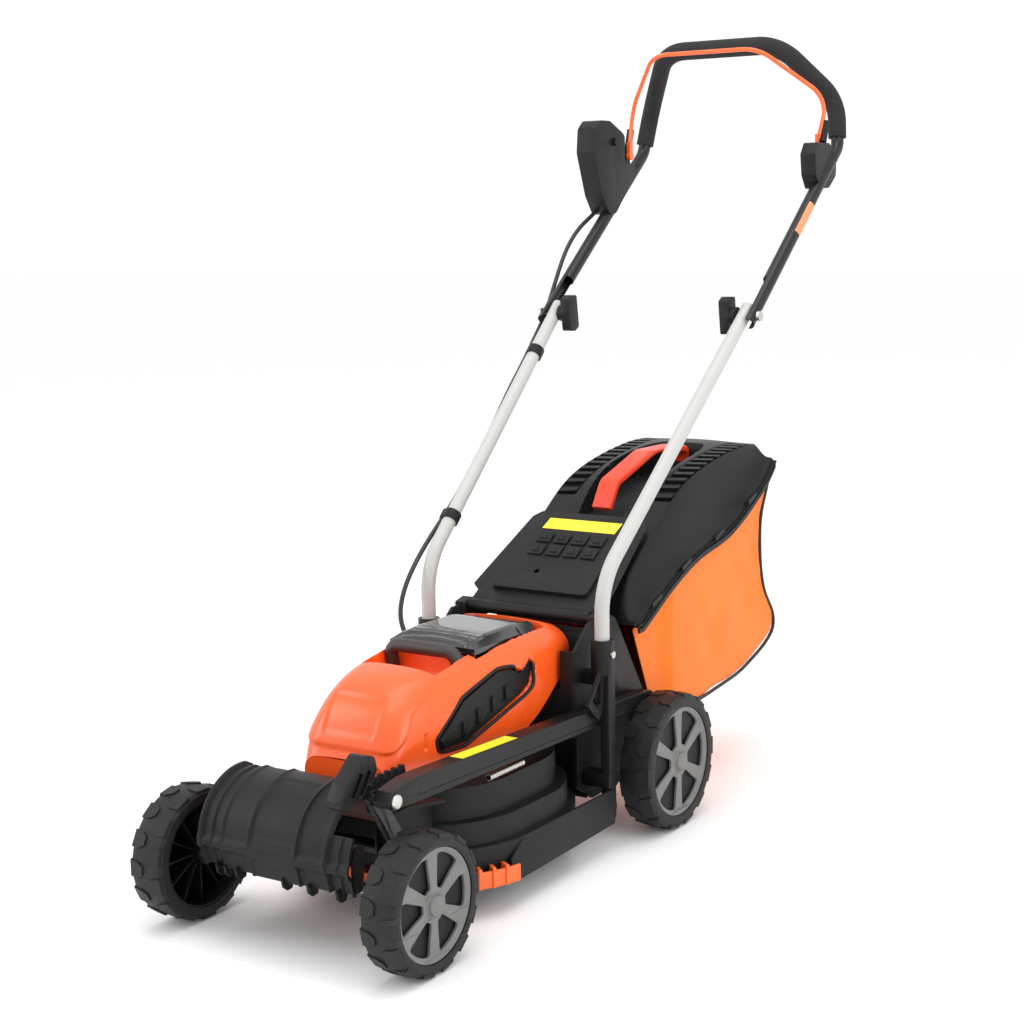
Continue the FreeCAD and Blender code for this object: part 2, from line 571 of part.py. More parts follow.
def make_blade():
    """Spindle, fan hub, blade and its bolt."""
    keep("spindle", rod_z(0, DECK_MID_Y, 5, 66, 179))
    hub = rod_z(0, DECK_MID_Y, 24, 60, 92).cut(rod_z(0, DECK_MID_Y, 5, 50, 95))
    for i in range(8):
        fin = block(22, 58, DECK_MID_Y - 1.2, DECK_MID_Y + 1.2, 60, 84)
        fin.rotate(Vector(0, DECK_MID_Y, 0), Vector(0, 0, 1), i * 45)
        hub = hub.fuse(fin)
    keep("blade_fan", hub.removeSplitter())
    blade = plate_z([(-BLADE_R, DECK_MID_Y - 16), (-BLADE_R + 44, DECK_MID_Y - 24), (BLADE_R - 44, DECK_MID_Y - 24),
                     (BLADE_R, DECK_MID_Y - 22), (BLADE_R, DECK_MID_Y + 16), (BLADE_R - 44, DECK_MID_Y + 24),
                     (-BLADE_R + 44, DECK_MID_Y + 24), (-BLADE_R, DECK_MID_Y + 22)], BLADE_Z + 4, BLADE_Z + 8, 3)
    for sign in (1, -1):
        lift = plate_x([(DECK_MID_Y + 10, BLADE_Z + 5), (DECK_MID_Y + 24, BLADE_Z + 14),
                        (DECK_MID_Y + 24, BLADE_Z + 18), (DECK_MID_Y + 10, BLADE_Z + 8)],
                       BLADE_R - 46, BLADE_R - 6)
        if sign < 0:
            lift.rotate(Vector(0, DECK_MID_Y, 0), Vector(0, 0, 1), 180)
        blade = blade.fuse(lift)
    round_tip = rod_z(0, DECK_MID_Y, BLADE_R, BLADE_Z - 10, BLADE_Z + 30)
    blade = blade.common(round_tip).cut(rod_z(0, DECK_MID_Y, 4.2, 40, 80))
    keep("blade", blade.removeSplitter())
    bolt = Part.Face(Part.makePolygon([Vector(9 * math.cos(math.radians(60 * i)),
                                              DECK_MID_Y + 9 * math.sin(math.radians(60 * i)), BLADE_Z - 4)
                                       for i in range(7)])).extrude(Vector(0, 0, 7))
    washer = rod_z(0, DECK_MID_Y, 15, BLADE_Z + 2, BLADE_Z + 4)
    shank = rod_z(0, DECK_MID_Y, 4, BLADE_Z + 2, 66)
    keep("blade_bolt", bolt.fuse([washer, shank]).removeSplitter())


def make_battery_lid():
    lid = plate_x([(250, 284), (250, 291), (262, 297), (300, 301.5), (360, 302), (394, 296), (394, 286)], -64, 64, 2)
    lid = lid.cut(block(-59, 59, 254, 372, 280, 290))
    for sign in (1, -1):
        wedge = plate_y([(sign * 66, 303), (sign * 66, 291), (sign * 52, 303)], 240, 400)
        lid = lid.cut(wedge)
    lid = lid.fuse(rod_x(LID_HINGE_Y, LID_HINGE_Z, 5, -40, 40)).cut(block(-15, 15, 250, 258, 294, 300))
    keep("battery_lid", lid.removeSplitter())


# ---------------------------------------------------------------- flap and grass box
def make_flap():
    """Sprung rear flap: hinge barrel, sloping plate and a raised middle."""
    barrel = rod_x(HINGE_Y, HINGE_Z, 9, -94, 94)
    run = 162.0
    rise = 103.0
    low = Vector(0, HINGE_Y, HINGE_Z + 4)
    high = Vector(0, HINGE_Y + run, HINGE_Z + rise)
    along = (high - low).normalize()
    normal = Vector(0, -along.z, along.y)

    def on_plate(x, reach, lift):
        spot = low + along * reach + normal * lift
        return Vector(x, spot.y, spot.z)

    length = (high - low).Length
    points = [on_plate(-94, 8, 0), on_plate(-94, 22, 0), on_plate(-108, 32, 0), on_plate(-92, length - 12, 0), on_plate(-82, length, 0),
              on_plate(82, length, 0), on_plate(92, length - 12, 0), on_plate(108, 32, 0), on_plate(94, 22, 0), on_plate(94, 8, 0)]
    plate = Part.Face(polygon(points, 5)).extrude(normal * 3)
    neck = plate_x([(HINGE_Y, HINGE_Z + 2), (HINGE_Y + 2, HINGE_Z + 9), (HINGE_Y + 16, HINGE_Z + 18),
                    (HINGE_Y + 20, HINGE_Z + 13)], -94, 94)
    raised = [on_plate(-76, 26, 2), on_plate(-70, length - 18, 2), on_plate(-62, length - 6, 2),
              on_plate(62, length - 6, 2), on_plate(70, length - 18, 2), on_plate(76, 26, 2)]
    middle = Part.Face(polygon(raised, 8)).extrude(normal * 7)
    flap = barrel.fuse([neck, plate, middle])
    flap = flap.cut(rod_x(HINGE_Y, HINGE_Z, 3.06, -130, 130))
    hole = Part.makeCylinder(4, 30, on_plate(-20, 62, -10), normal)
    keep("rear_flap", flap.cut(hole).removeSplitter())


LID_PROFILE = [(533, 272), (560, 330), (620, 376), (690, 425), (740, 446), (807, 461), (880, 470), (940, 468),
               (948, 440), (913, 412), (806, 358), (697, 334), (622, 304), (544, 264)]


def shrunk_lid(drop):
    """Inside of the moulded lid, drop below its upper face."""
    upper = [(540, 262), (566, 322), (624, 371), (692, 420), (740, 441), (807, 456), (880, 465), (938, 462),
             (943, 438), (915, 390), (806, 340), (697, 318), (622, 290), (560, 240)]
    return [(y, z - drop) for y, z in upper]


def make_grass_box():
    """Moulded lid, its handle, and the fabric bag under it."""
    lid = plate_x(LID_PROFILE, -126, 126, 4)
    for sign in (1, -1):
        # sloping shoulders along both sides of the lid
        shoulder = plate_y([(sign * 127, 560), (sign * 127, 432), (sign * 98, 500)], 500, 960)
        slope = 0.42
        cut = shoulder.copy()
        matrix = FreeCAD.Matrix()
        matrix.A32 = slope
        matrix.A34 = -slope * 800
        cut = cut.transformGeometry(matrix)
        lid = lid.cut(cut)
    lid = lid.cut(plate_x(shrunk_lid(0), -122, 122, 4))
    # recess under the handle, open through the top
    recess = plate_z([(-34, 640), (34, 640), (52, 760), (44, 880), (-44, 880), (-52, 760)], 380, 500, 14)
    tray = plate_x([(620, 362), (640, 372), (700, 396), (800, 412), (900, 418), (900, 422), (796, 416), (696, 400),
                    (636, 376), (616, 366)], -60, 60)
    pocket = plate_z([(-37, 637), (37, 637), (55, 760), (47, 883), (-47, 883), (-55, 760)], 380, 500, 14)
    pocket = pocket.cut(recess)
    solid = plate_x(LID_PROFILE, -126, 126, 4)
    walls = pocket.common(solid).cut(plate_x([(600, 300), (636, 374), (696, 398), (796, 414), (900, 420), (960, 300)],
                                             -70, 70))
    floor = tray.common(plate_z([(-37, 637), (37, 637), (55, 760), (47, 883), (-47, 883), (-55, 760)],
                                340, 500, 14))
    lid = lid.cut(recess).fuse([walls, floor])
    # louvre slots each side of the recess
    for i in range(12):
        y = 690 + i * 19
        for sign in (1, -1):
            x0 = 62 if sign > 0 else -92
            lid = lid.cut(block(x0, x0 + 30, y, y + 8, 410, 500))
    # clip slots in the rim
    for y, z in ((585, 306), (668, 345), (765, 368), (868, 412)):
        for x in (-130, 120):
            lid = lid.cut(block(x, x + 10, y - 14, y + 14, z - 3, z + 3))
    keep("box_lid", biggest(lid.removeSplitter()))

    # grooved handle over the recess
    spine = [Vector(0, 650, 402), Vector(0, 672, 436), Vector(0, 790, 474), Vector(0, 878, 462), Vector(0, 884, 424)]
    path = route(spine, [20, 120, 18])
    start = (spine[1] - spine[0]).normalize()
    side = Vector(1, 0, 0)
    up = side.cross(start)
    strip = outline([spine[0] + side * 15 + up * 5, spine[0] - side * 15 + up * 5, spine[0] - side * 15 - up * 5,
                     spine[0] + side * 15 - up * 5], 3)
    handle = path.makePipeShell([strip], True, False)
    keep("box_handle", handle.common(block(-40, 40, 640, 876, 380, 471)))

    # bag: closed solid of the fabric's outer shape with the real hollow inside, open at the front
    profile = [(531, 249), (544, 262), (622, 300), (697, 329), (806, 353), (912, 406), (936, 432), (918, 400),
               (905, 350), (912, 270), (948, 205), (946, 178), (842, 146), (713, 132), (606, 132), (582, 176)]
    plan = [(-110, 500), (110, 500), (110, 607), (120, 640), (120, 960), (-120, 960), (-120, 640), (-110, 607)]
    bag = plate_x(profile, -120, 120, 2).common(plate_z(plan, 100, 460))
    hollow = [(524, 244), (546, 256), (623, 293), (697, 322), (806, 346), (896, 392), (900, 350), (908, 268),
              (942, 205), (940, 182), (842, 150), (713, 136), (608, 136), (590, 160), (570, 160), (510, 240)]
    inside = [(x - 3.5 if x > 0 else x + 3.5, y) for x, y in plan]
    bag = bag.cut(plate_x(hollow, -118, 118).common(plate_z(inside, 90, 470)))
    keep("grass_bag", biggest(bag))


# ---------------------------------------------------------------- upper handle and its controls
def make_upper_handle():
    fold = Vector(0, BOLT_Y, BOLT_Z)
    kink = Vector(0, KINK_Y, KINK_Z)
    down = (fold - kink).normalize()
    start = fold + down * 16
    points = [Vector(UPPER_X, start.y, start.z), Vector(UPPER_X, KINK_Y, KINK_Z), Vector(*SHOULDER),
              Vector(*GRIP_END)]
    points = points + [Vector(-p.x, p.y, p.z) for p in reversed(points)]
    radii = [28, 70, 60, 60, 70, 28]
    bar = pipe(points, radii, TUBE_R).cut(pipe(points, radii, TUBE_R - 1.4))
    # the lower ends are cut flat on the inside, where they lap over the lower tubes
    lap = Part.makeBox(2 * UPPER_X - 2.2, 30, 96, Vector(1.1 - UPPER_X, -15, -8))
    lap.rotate(Vector(0, 0, 0), Vector(1, 0, 0), -math.degrees(math.atan2(-down.y, -down.z)))
    lap.translate(start)
    bar = bar.cut(lap)
    bar = bar.cut(rod_x(BOLT_Y, BOLT_Z, 3.1, -200, 200))
    keep("upper_handle", bar)

    # foam grip over the loop, from just above the kink on each side
    rise = (points[2] - points[1]).normalize()
    foot = points[1] + rise * 14
    other = Vector(-foot.x, foot.y, foot.z)
    loop = [foot, points[2], points[3], points[4], points[5], other]
    grip = pipe(loop, radii[1:5], FOAM_R, 0.56)
    grip = grip.cut(pipe(points, radii, TUBE_R + 0.02))
    keep("foam_grip", grip)

    # switch box on the left leg, with the safety button in its inner face
    tear = [(899, 902), (903, 938), (918, 951), (946, 951), (985, 934), (1014, 904), (1024, 874), (962, 812),
            (944, 808), (922, 838)]
    box = plate_x(tear, -190, -158, 14)
    cavity = plate_x([(910, 905), (913, 932), (922, 942), (944, 942), (975, 926), (988, 905), (974, 882), (936, 846)],
                     -186, -162, 8)
    box = box.cut(cavity)
    clamp = pipe(points[5:], [28], TUBE_R + 0.1)
    box = box.cut(clamp)
    box = box.cut(rod_x(958, 920, 6.1, -165, -150))
    box = box.cut(block(-165.5, -150, 990, 1030, 888, 960)).cut(cable(UPPER_CABLE))
    keep("switch_box", biggest(box))
    keep("safety_button", rod_x(958, 920, 6, -163, -153))

    # bracket that carries the other end of the bail, clamped on the right leg
    bracket = plate_x([(978, 862), (974, 892), (986, 909), (1024, 909), (1050, 890), (1048, 862), (1024, 844),
                       (992, 842)], 149, 173, 7)
    bracket = bracket.cut(pipe(points[:3], [28], TUBE_R + 0.1)).cut(block(150, 165.5, 990, 1030, 888, 960))
    keep("bail_bracket", biggest(bracket))

    # bail: orange rod whose feet turn out into the box and the bracket
    rod = [Vector(161, BAIL_Y, BAIL_Z + 14), Vector(*BAIL_SHOULDER), Vector(*BAIL_END)]
    rod = rod + [Vector(-p.x, p.y, p.z) for p in reversed(rod)]
    bail = pipe(rod, [50, 50, 50, 50], 3.2)
    eyes = []
    for sign in (1, -1):
        x0 = 157.5 if sign > 0 else -164.0
        eyes.append(rod_x(BAIL_Y, BAIL_Z, 6, x0, x0 + 6.5))
        eyes.append(block(x0 + 0.5, x0 + 6, BAIL_Y - 4.5, BAIL_Y + 4.5, BAIL_Z + 2, BAIL_Z + 22))
    keep("bail_lever", bail.fuse(eyes).removeSplitter())

    # carriage bolts through both tubes and the wing knobs inside the lower tubes
    bolts = []
    for sign in (1, -1):
        x0, x1 = (126, 179) if sign > 0 else (-179, -126)
        head0, head1 = (177.6, 182) if sign > 0 else (-182, -177.6)
        shank = rod_x(BOLT_Y, BOLT_Z, 3, x0, x1)
        bolts.append(shank.fuse(rod_x(BOLT_Y, BOLT_Z, 7, head0, head1)).removeSplitter())
    keep("handle_bolts", Part.makeCompound(bolts))
    knob = rod_x(BOLT_Y, BOLT_Z, 12, 130, 146)
    wings = plate_x([(BOLT_Y - 8, BOLT_Z - 26), (BOLT_Y - 14, BOLT_Z + 20), (BOLT_Y - 4, BOLT_Z + 26),
                     (BOLT_Y + 8, BOLT_Z + 26), (BOLT_Y + 14, BOLT_Z - 20), (BOLT_Y + 4, BOLT_Z - 26)], 123, 138, 4)
    knob = knob.fuse(wings).cut(rod_x(BOLT_Y, BOLT_Z, 3 + RUN_FIT, 125, 150))
    keep_pair("wing_knob", knob.removeSplitter())


# ---------------------------------------------------------------- cable
CABLE_R = 3.2
UPPER_CABLE = [(-178, 952, 824), (-182, 928, 808), (-185, 892, 788), (-186, 860, 759), (-186, 836, 724),
               (-186, 816, 690)]
LOWER_CABLE = [(-186, 815.5, 689.2), (-185, 790, 654), (-180, 756, 626), (-171, 714, 596), (-167, 670, 560),
               (-162, 616, 508), (-158, 562, 462), (-154, 512, 420), (-152, 462, 386), (-151, 424, 356),
               (-149, 392, 324), (-147, 376, 292), (-136, 370, 266), (-112, 366, 250), (-86, 364, 246)]
CLIP_SPOTS = [(-171, 715, 597), (-153, 490, 405)]


def cable(points):
    """Straight runs joined by the largest tangent arcs that fit."""
    spots = [Vector(*point) for point in points]
    radii = []
    for i in range(1, len(spots) - 1):
        a = spots[i - 1] - spots[i]
        b = spots[i + 1] - spots[i]
        half_turn = (math.pi - a.getAngle(b)) / 2
        radii.append(0.45 * min(a.Length, b.Length) / math.tan(half_turn))
    return pipe(spots, radii, CABLE_R)


def make_cable():
    keep("cable_upper", cable(UPPER_CABLE))
    keep("cable_lower", cable(LOWER_CABLE))
    clips = []
    lower_dir = (Vector(BOLT_X, BOLT_Y, BOLT_Z) - Vector(TUBE_X, TUBE_Y, BEND_Z)).normalize()
    base = Vector(-BOLT_X, BOLT_Y, BOLT_Z)
    along = Vector(-lower_dir.x, lower_dir.y, lower_dir.z)
    for back in (82, 394):
        spot = base - along * back
        ring = Part.makeCylinder(TUBE_R + 2.5, 14, spot - along * 7, along)
        nearest = min((Vector(*point) for point in CLIP_SPOTS), key=lambda point: (point - spot).Length)
        eye = Part.makeCylinder(CABLE_R + 2.2, 14, nearest - along * 7, along)
        clip = ring.fuse(eye).cut(Part.makeCylinder(TUBE_R + 0.05, 30, spot - along * 15, along))
        clips.append(biggest(clip.cut(cable(LOWER_CABLE)).removeSplitter()))
    keep("cable_clips", Part.makeCompound(clips))


# ---------------------------------------------------------------- build and export
make_wheels()
make_height_gear()
make_deck()
make_nose()
make_rear_frame()
make_tubes()
make_carry_handle()
make_motor_cover()
make_vents()
make_drive()
make_blade()
make_battery_lid()
make_flap()
make_grass_box()
make_upper_handle()
make_cable()

os.makedirs("parts", exist_ok=True)
for name, shape in shapes.items():
    shape.translate(Vector(0, -ORIGIN_Y, 0))
    shape.exportStep("parts/" + name + ".step")
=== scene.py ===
import json
from math import atan2, cos, degrees, hypot, pi, radians, sin
import bmesh
import bpy
from mathutils import Matrix, Vector, noise
from mathutils.bvhtree import BVHTree


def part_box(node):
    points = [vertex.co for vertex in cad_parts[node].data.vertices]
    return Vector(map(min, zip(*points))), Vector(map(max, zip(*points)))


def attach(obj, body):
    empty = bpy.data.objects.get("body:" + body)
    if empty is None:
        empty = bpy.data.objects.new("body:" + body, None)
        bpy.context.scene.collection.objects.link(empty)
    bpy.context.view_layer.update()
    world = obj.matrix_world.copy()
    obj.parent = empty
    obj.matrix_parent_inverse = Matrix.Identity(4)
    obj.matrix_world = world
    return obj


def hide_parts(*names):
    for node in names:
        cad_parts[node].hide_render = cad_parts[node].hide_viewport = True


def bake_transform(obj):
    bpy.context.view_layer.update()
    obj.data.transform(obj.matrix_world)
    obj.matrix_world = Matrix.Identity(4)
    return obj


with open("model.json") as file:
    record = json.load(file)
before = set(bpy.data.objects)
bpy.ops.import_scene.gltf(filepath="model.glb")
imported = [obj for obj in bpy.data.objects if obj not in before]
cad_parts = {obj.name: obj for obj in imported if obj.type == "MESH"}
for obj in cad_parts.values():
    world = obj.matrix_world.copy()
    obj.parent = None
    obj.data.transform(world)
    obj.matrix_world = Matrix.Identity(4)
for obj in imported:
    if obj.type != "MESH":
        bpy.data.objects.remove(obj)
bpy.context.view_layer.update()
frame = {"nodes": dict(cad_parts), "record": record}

# ------------------------------------------------------------------ blade housing
# The housing is one black polypropylene moulding: a round stepped dome over the blade with straight side
# skirts between the wheels. It comes from a textured steel mould, so its sheen is broken by a fine grain.
nodes = frame["nodes"]
AXLE = (Vector(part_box("front_axle")[0]) + Vector(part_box("front_axle")[1])) / 2


def at(x, y, z):
    """A point given in millimetres from the front axle's middle plane and the ground."""
    return Vector((x / 1000, y / 1000 + AXLE.y, z / 1000))


def node_group(name, ins, outs):
    """An empty shader group with float, colour and vector sockets."""
    kinds = {"f": "NodeSocketFloat", "c": "NodeSocketColor", "v": "NodeSocketVector"}
    group = bpy.data.node_groups.new(name, "ShaderNodeTree")
    for label, kind, value in ins:
        socket = group.interface.new_socket(name=label, in_out="INPUT", socket_type=kinds[kind])
        if value is not None:
            socket.default_value = value
    for label, kind in outs:
        group.interface.new_socket(name=label, in_out="OUTPUT", socket_type=kinds[kind])
    return group, group.nodes.new("NodeGroupInput"), group.nodes.new("NodeGroupOutput")


def add(tree, kind, settings=(), **values):
    """A node with its settings and its unlinked inputs filled in."""
    node = tree.nodes.new(kind)
    for key, value in dict(settings).items():
        setattr(node, key, value)
    for key, value in values.items():
        node.inputs[key.replace("_", " ")].default_value = value
    return node


def moulded_grain():
    """Grain, faint mottling and handling marks of a moulded surface."""
    group, source, sink = node_group(
        "moulded_grain",
        [("Vector", "v", None), ("Color", "c", (0.5, 0.5, 0.5, 1)), ("Roughness", "f", 0.5),
         ("Grain scale", "f", 2200.0), ("Grain height", "f", 0.12), ("Mottle", "f", 0.06), ("Dust", "f", 0.04)],
        [("Color", "c"), ("Roughness", "f"), ("Height", "f")])
    link = group.links.new
    grain = add(group, "ShaderNodeTexNoise", Detail=2.0, Roughness=0.6)
    link(source.outputs["Vector"], grain.inputs["Vector"])
    link(source.outputs["Grain scale"], grain.inputs["Scale"])
    broad = add(group, "ShaderNodeTexNoise", Scale=9.0, Detail=5.0, Roughness=0.62)
    link(source.outputs["Vector"], broad.inputs["Vector"])
    streak_map = add(group, "ShaderNodeMapping", Scale=(40.0, 7.0, 55.0))
    link(source.outputs["Vector"], streak_map.inputs["Vector"])
    streak = add(group, "ShaderNodeTexNoise", Scale=1.0, Detail=6.0, Roughness=0.7)
    link(streak_map.outputs["Vector"], streak.inputs["Vector"])
    rubbed = add(group, "ShaderNodeMapRange", From_Min=0.55, From_Max=0.8, To_Min=0.0, To_Max=1.0)
    link(streak.outputs["Fac"], rubbed.inputs["Value"])
    shade = add(group, "ShaderNodeMapRange", From_Min=0.3, From_Max=0.7, To_Min=-1.0, To_Max=1.0)
    link(broad.outputs["Fac"], shade.inputs["Value"])
    amount = add(group, "ShaderNodeMath", {"operation": "MULTIPLY"})
    link(shade.outputs["Result"], amount.inputs[0])
    link(source.outputs["Mottle"], amount.inputs[1])
    value = add(group, "ShaderNodeMath", {"operation": "ADD"})
    value.inputs[1].default_value = 1.0
    link(amount.outputs[0], value.inputs[0])
    tone = add(group, "ShaderNodeHueSaturation")
    link(source.outputs["Color"], tone.inputs["Color"])
    link(value.outputs[0], tone.inputs["Value"])
    film = add(group, "ShaderNodeMath", {"operation": "MULTIPLY"})
    link(rubbed.outputs["Result"], film.inputs[0])
    link(source.outputs["Dust"], film.inputs[1])
    dusty = add(group, "ShaderNodeMix", {"data_type": "RGBA"})
    dusty.inputs["B"].default_value = (0.42, 0.4, 0.37, 1)
    link(film.outputs[0], dusty.inputs["Factor"])
    link(tone.outputs["Color"], dusty.inputs["A"])
    link(dusty.outputs["Result"], sink.inputs["Color"])
    rough = add(group, "ShaderNodeMath", {"operation": "MULTIPLY_ADD"})
    rough.inputs[1].default_value = 0.07
    link(shade.outputs["Result"], rough.inputs[0])
    link(source.outputs["Roughness"], rough.inputs[2])
    link(rough.outputs[0], sink.inputs["Roughness"])
    height = add(group, "ShaderNodeMath", {"operation": "MULTIPLY"})
    link(grain.outputs["Fac"], height.inputs[0])
    link(source.outputs["Grain height"], height.inputs[1])
    link(height.outputs[0], sink.inputs["Height"])
    return group


MOULDED_GRAIN = moulded_grain()


def moulded(name, color, roughness, grain=0.12, grain_scale=2200.0, mottle=0.06, dust=0.03, coat=0.0,
            metallic=0.0, specular=0.5, bump=0.0006):
    """Moulded, painted or rubbery finish: the shader itself and the grain group that feeds it."""
    material = bpy.data.materials.new(name)
    material.use_nodes = True
    tree = material.node_tree
    shader = tree.nodes["Principled BSDF"]
    place = add(tree, "ShaderNodeTexCoord")
    surface = add(tree, "ShaderNodeGroup", {"node_tree": MOULDED_GRAIN})
    tree.links.new(place.outputs["Object"], surface.inputs["Vector"])
    surface.inputs["Color"].default_value = (*color, 1)
    surface.inputs["Roughness"].default_value = roughness
    surface.inputs["Grain scale"].default_value = grain_scale
    surface.inputs["Grain height"].default_value = grain
    surface.inputs["Mottle"].default_value = mottle
    surface.inputs["Dust"].default_value = dust
    raised = add(tree, "ShaderNodeBump", Strength=1.0, Distance=bump)
    tree.links.new(surface.outputs["Height"], raised.inputs["Height"])
    tree.links.new(surface.outputs["Color"], shader.inputs["Base Color"])
    tree.links.new(surface.outputs["Roughness"], shader.inputs["Roughness"])
    tree.links.new(raised.outputs["Normal"], shader.inputs["Normal"])
    shader.inputs["Metallic"].default_value = metallic
    shader.inputs["Specular IOR Level"].default_value = specular
    shader.inputs["Coat Weight"].default_value = coat
    shader.inputs["Coat Roughness"].default_value = 0.12
    return material


def piece(name, mesh, material, body, replaces=(), smooth=radians(35)):
    """Puts a finished mesh in the scene on its body."""
    obj = bpy.data.objects.new(name, mesh)
    bpy.context.scene.collection.objects.link(obj)
    mesh.materials.clear()
    mesh.materials.append(material)
    if smooth:
        mesh.shade_smooth()
        mesh.set_sharp_from_angle(angle=smooth)
    if body:
        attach(obj, body)
    if replaces:
        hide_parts(*replaces)
    return obj


def mesh_of(bm, name):
    mesh = bpy.data.meshes.new(name)
    bm.to_mesh(mesh)
    bm.free()
    return mesh


def step(low, high, value):
    t = min(max((value - low) / (high - low), 0.0), 1.0)
    return t * t * (3 - 2 * t)


def along(table, y):
    """Smooth reading of a table of stations (y, value, value ...) at y."""
    i = max(0, min(len(table) - 2, sum(1 for row in table if row[0] <= y) - 1))
    before, a, b, after = table[max(i - 1, 0)], table[i], table[i + 1], table[min(i + 2, len(table) - 1)]
    h = b[0] - a[0]
    t = min(max((y - a[0]) / h, 0.0), 1.0)
    values = []
    for k in range(1, len(a)):
        m0 = h * (b[k] - before[k]) / (b[0] - before[0])
        m1 = h * (after[k] - a[k]) / (after[0] - a[0])
        values.append((2 * t ** 3 - 3 * t * t + 1) * a[k] + (t ** 3 - 2 * t * t + t) * m0
                      + (3 * t * t - 2 * t ** 3) * b[k] + (t ** 3 - t * t) * m1)
    return values


def softened(points, setback):
    """An open chain of 2-D points whose corners are turned into short curves."""
    chain = [points[0]]
    for before, here, after in zip(points, points[1:], points[2:]):
        back = min(setback, 0.48 * (here - before).length, 0.48 * (after - here).length)
        a = here + (before - here).normalized() * back
        b = here + (after - here).normalized() * back
        chain += [a * (1 - t) ** 2 + here * 2 * t * (1 - t) + b * t * t for t in (0, 0.17, 0.33, 0.5, 0.67, 0.83, 1)]
    return chain + [points[-1]]


def spaced(chain, count):
    """The same chain cut into equal steps."""
    reach = [0.0]
    for a, b in zip(chain, chain[1:]):
        reach.append(reach[-1] + (b - a).length)
    found, i = [], 0
    for n in range(count):
        target = reach[-1] * n / (count - 1)
        while i < len(chain) - 2 and reach[i + 1] < target:
            i += 1
        found.append(chain[i].lerp(chain[i + 1], (target - reach[i]) / max(reach[i + 1] - reach[i], 1e-9)))
    return found


def walled(name, rows, wall, centre, wanted=lambda p: True):
    """A moulding: a grid of outer points in millimetres, given a wall behind it and a closed rim."""
    bm = bmesh.new()
    grid = [[bm.verts.new(at(*p)) for p in row] for row in rows]
    out = 0.0
    for i in range(len(rows) - 1):
        for j in range(len(rows[0]) - 1):
            quad = (grid[i][j], grid[i + 1][j], grid[i + 1][j + 1], grid[i][j + 1])
            middle = sum((v.co for v in quad), Vector()) / 4
            if wanted((middle.x * 1000, (middle.y - AXLE.y) * 1000, middle.z * 1000)):
                face = bm.faces.new(quad)
                face.normal_update()
                out += face.normal.dot(middle - at(*centre)) * face.calc_area()
    if out < 0:
        bmesh.ops.reverse_faces(bm, faces=bm.faces)
    bmesh.ops.delete(bm, geom=[v for v in bm.verts if not v.link_faces], context="VERTS")
    obj = bpy.data.objects.new("rough", mesh_of(bm, "rough"))
    bpy.context.scene.collection.objects.link(obj)
    modifier = obj.modifiers.new("wall", "SOLIDIFY")
    modifier.thickness = wall / 1000
    modifier.offset = -1
    return baked(obj, name)


def baked(obj, name):
    """The evaluated mesh of a working object, which is then removed."""
    mesh = bpy.data.meshes.new_from_object(obj.evaluated_get(bpy.context.evaluated_depsgraph_get()))
    mesh.name = name
    bpy.data.objects.remove(obj)
    return mesh


def joined(name, *meshes):
    bm = bmesh.new()
    for mesh in meshes:
        bm.from_mesh(mesh)
    return mesh_of(bm, name)


def cord(points, radius):
    """A round cord on a soft path through control points in millimetres."""
    curve = bpy.data.curves.new("cord", "CURVE")
    curve.dimensions = "3D"
    curve.bevel_depth = radius / 1000
    curve.bevel_resolution = 4
    curve.resolution_u = 10
    curve.use_fill_caps = True
    spline = curve.splines.new("NURBS")
    spline.points.add(len(points) - 1)
    for spot, point in zip(spline.points, points):
        spot.co = (*at(*point), 1)
    spline.order_u = 3
    spline.use_endpoint_u = True
    obj = bpy.data.objects.new("cord", curve)
    bpy.context.scene.collection.objects.link(obj)
    return baked(obj, "cord_mesh")


def touch(obj, point, direction):
    """Where a line from a point in millimetres first meets a finished piece, in millimetres."""
    if obj.name not in TREES:
        mesh = obj.data
        TREES[obj.name] = BVHTree.FromPolygons([v.co for v in mesh.vertices], [p.vertices for p in mesh.polygons])
    hit = TREES[obj.name].ray_cast(at(*point), Vector(direction))[0] or at(*point)
    return hit.x * 1000, (hit.y - AXLE.y) * 1000, hit.z * 1000


TREES = {}


def stuck(name, obj, corners, direction, material, body, lift=0.35, cells=24):
    """A printed film laid on a piece: a fine grid pressed against its surface from four corner points."""
    a, b, c, d = (Vector(corner) for corner in corners)
    rows = []
    for i in range(cells + 1):
        row = []
        for j in range(cells + 1):
            u, v = i / cells, j / cells
            spot = touch(obj, a.lerp(b, u).lerp(d.lerp(c, u), v), direction)
            row.append(tuple(Vector(spot) - Vector(direction) * lift))
        rows.append(row)
    middle = (a + c) / 2 + Vector(direction) * 500
    return piece(name, walled(name + "_mesh", rows, 0.3, middle), material, body)


def prism(points, lift, taper=0.0):
    """A closed block: a ring of points raised by a vector, its top drawn in towards the middle."""
    bm = bmesh.new()
    low = [bm.verts.new(p) for p in points]
    middle = sum(points, Vector()) / len(points)
    high = [bm.verts.new(p + lift + (middle - p) * taper) for p in points]
    bm.faces.new(low[::-1])
    bm.faces.new(high)
    for i in range(len(low)):
        j = (i + 1) % len(low)
        bm.faces.new((low[i], low[j], high[j], high[i]))
    bmesh.ops.recalc_face_normals(bm, faces=bm.faces)
    return mesh_of(bm, "prism")


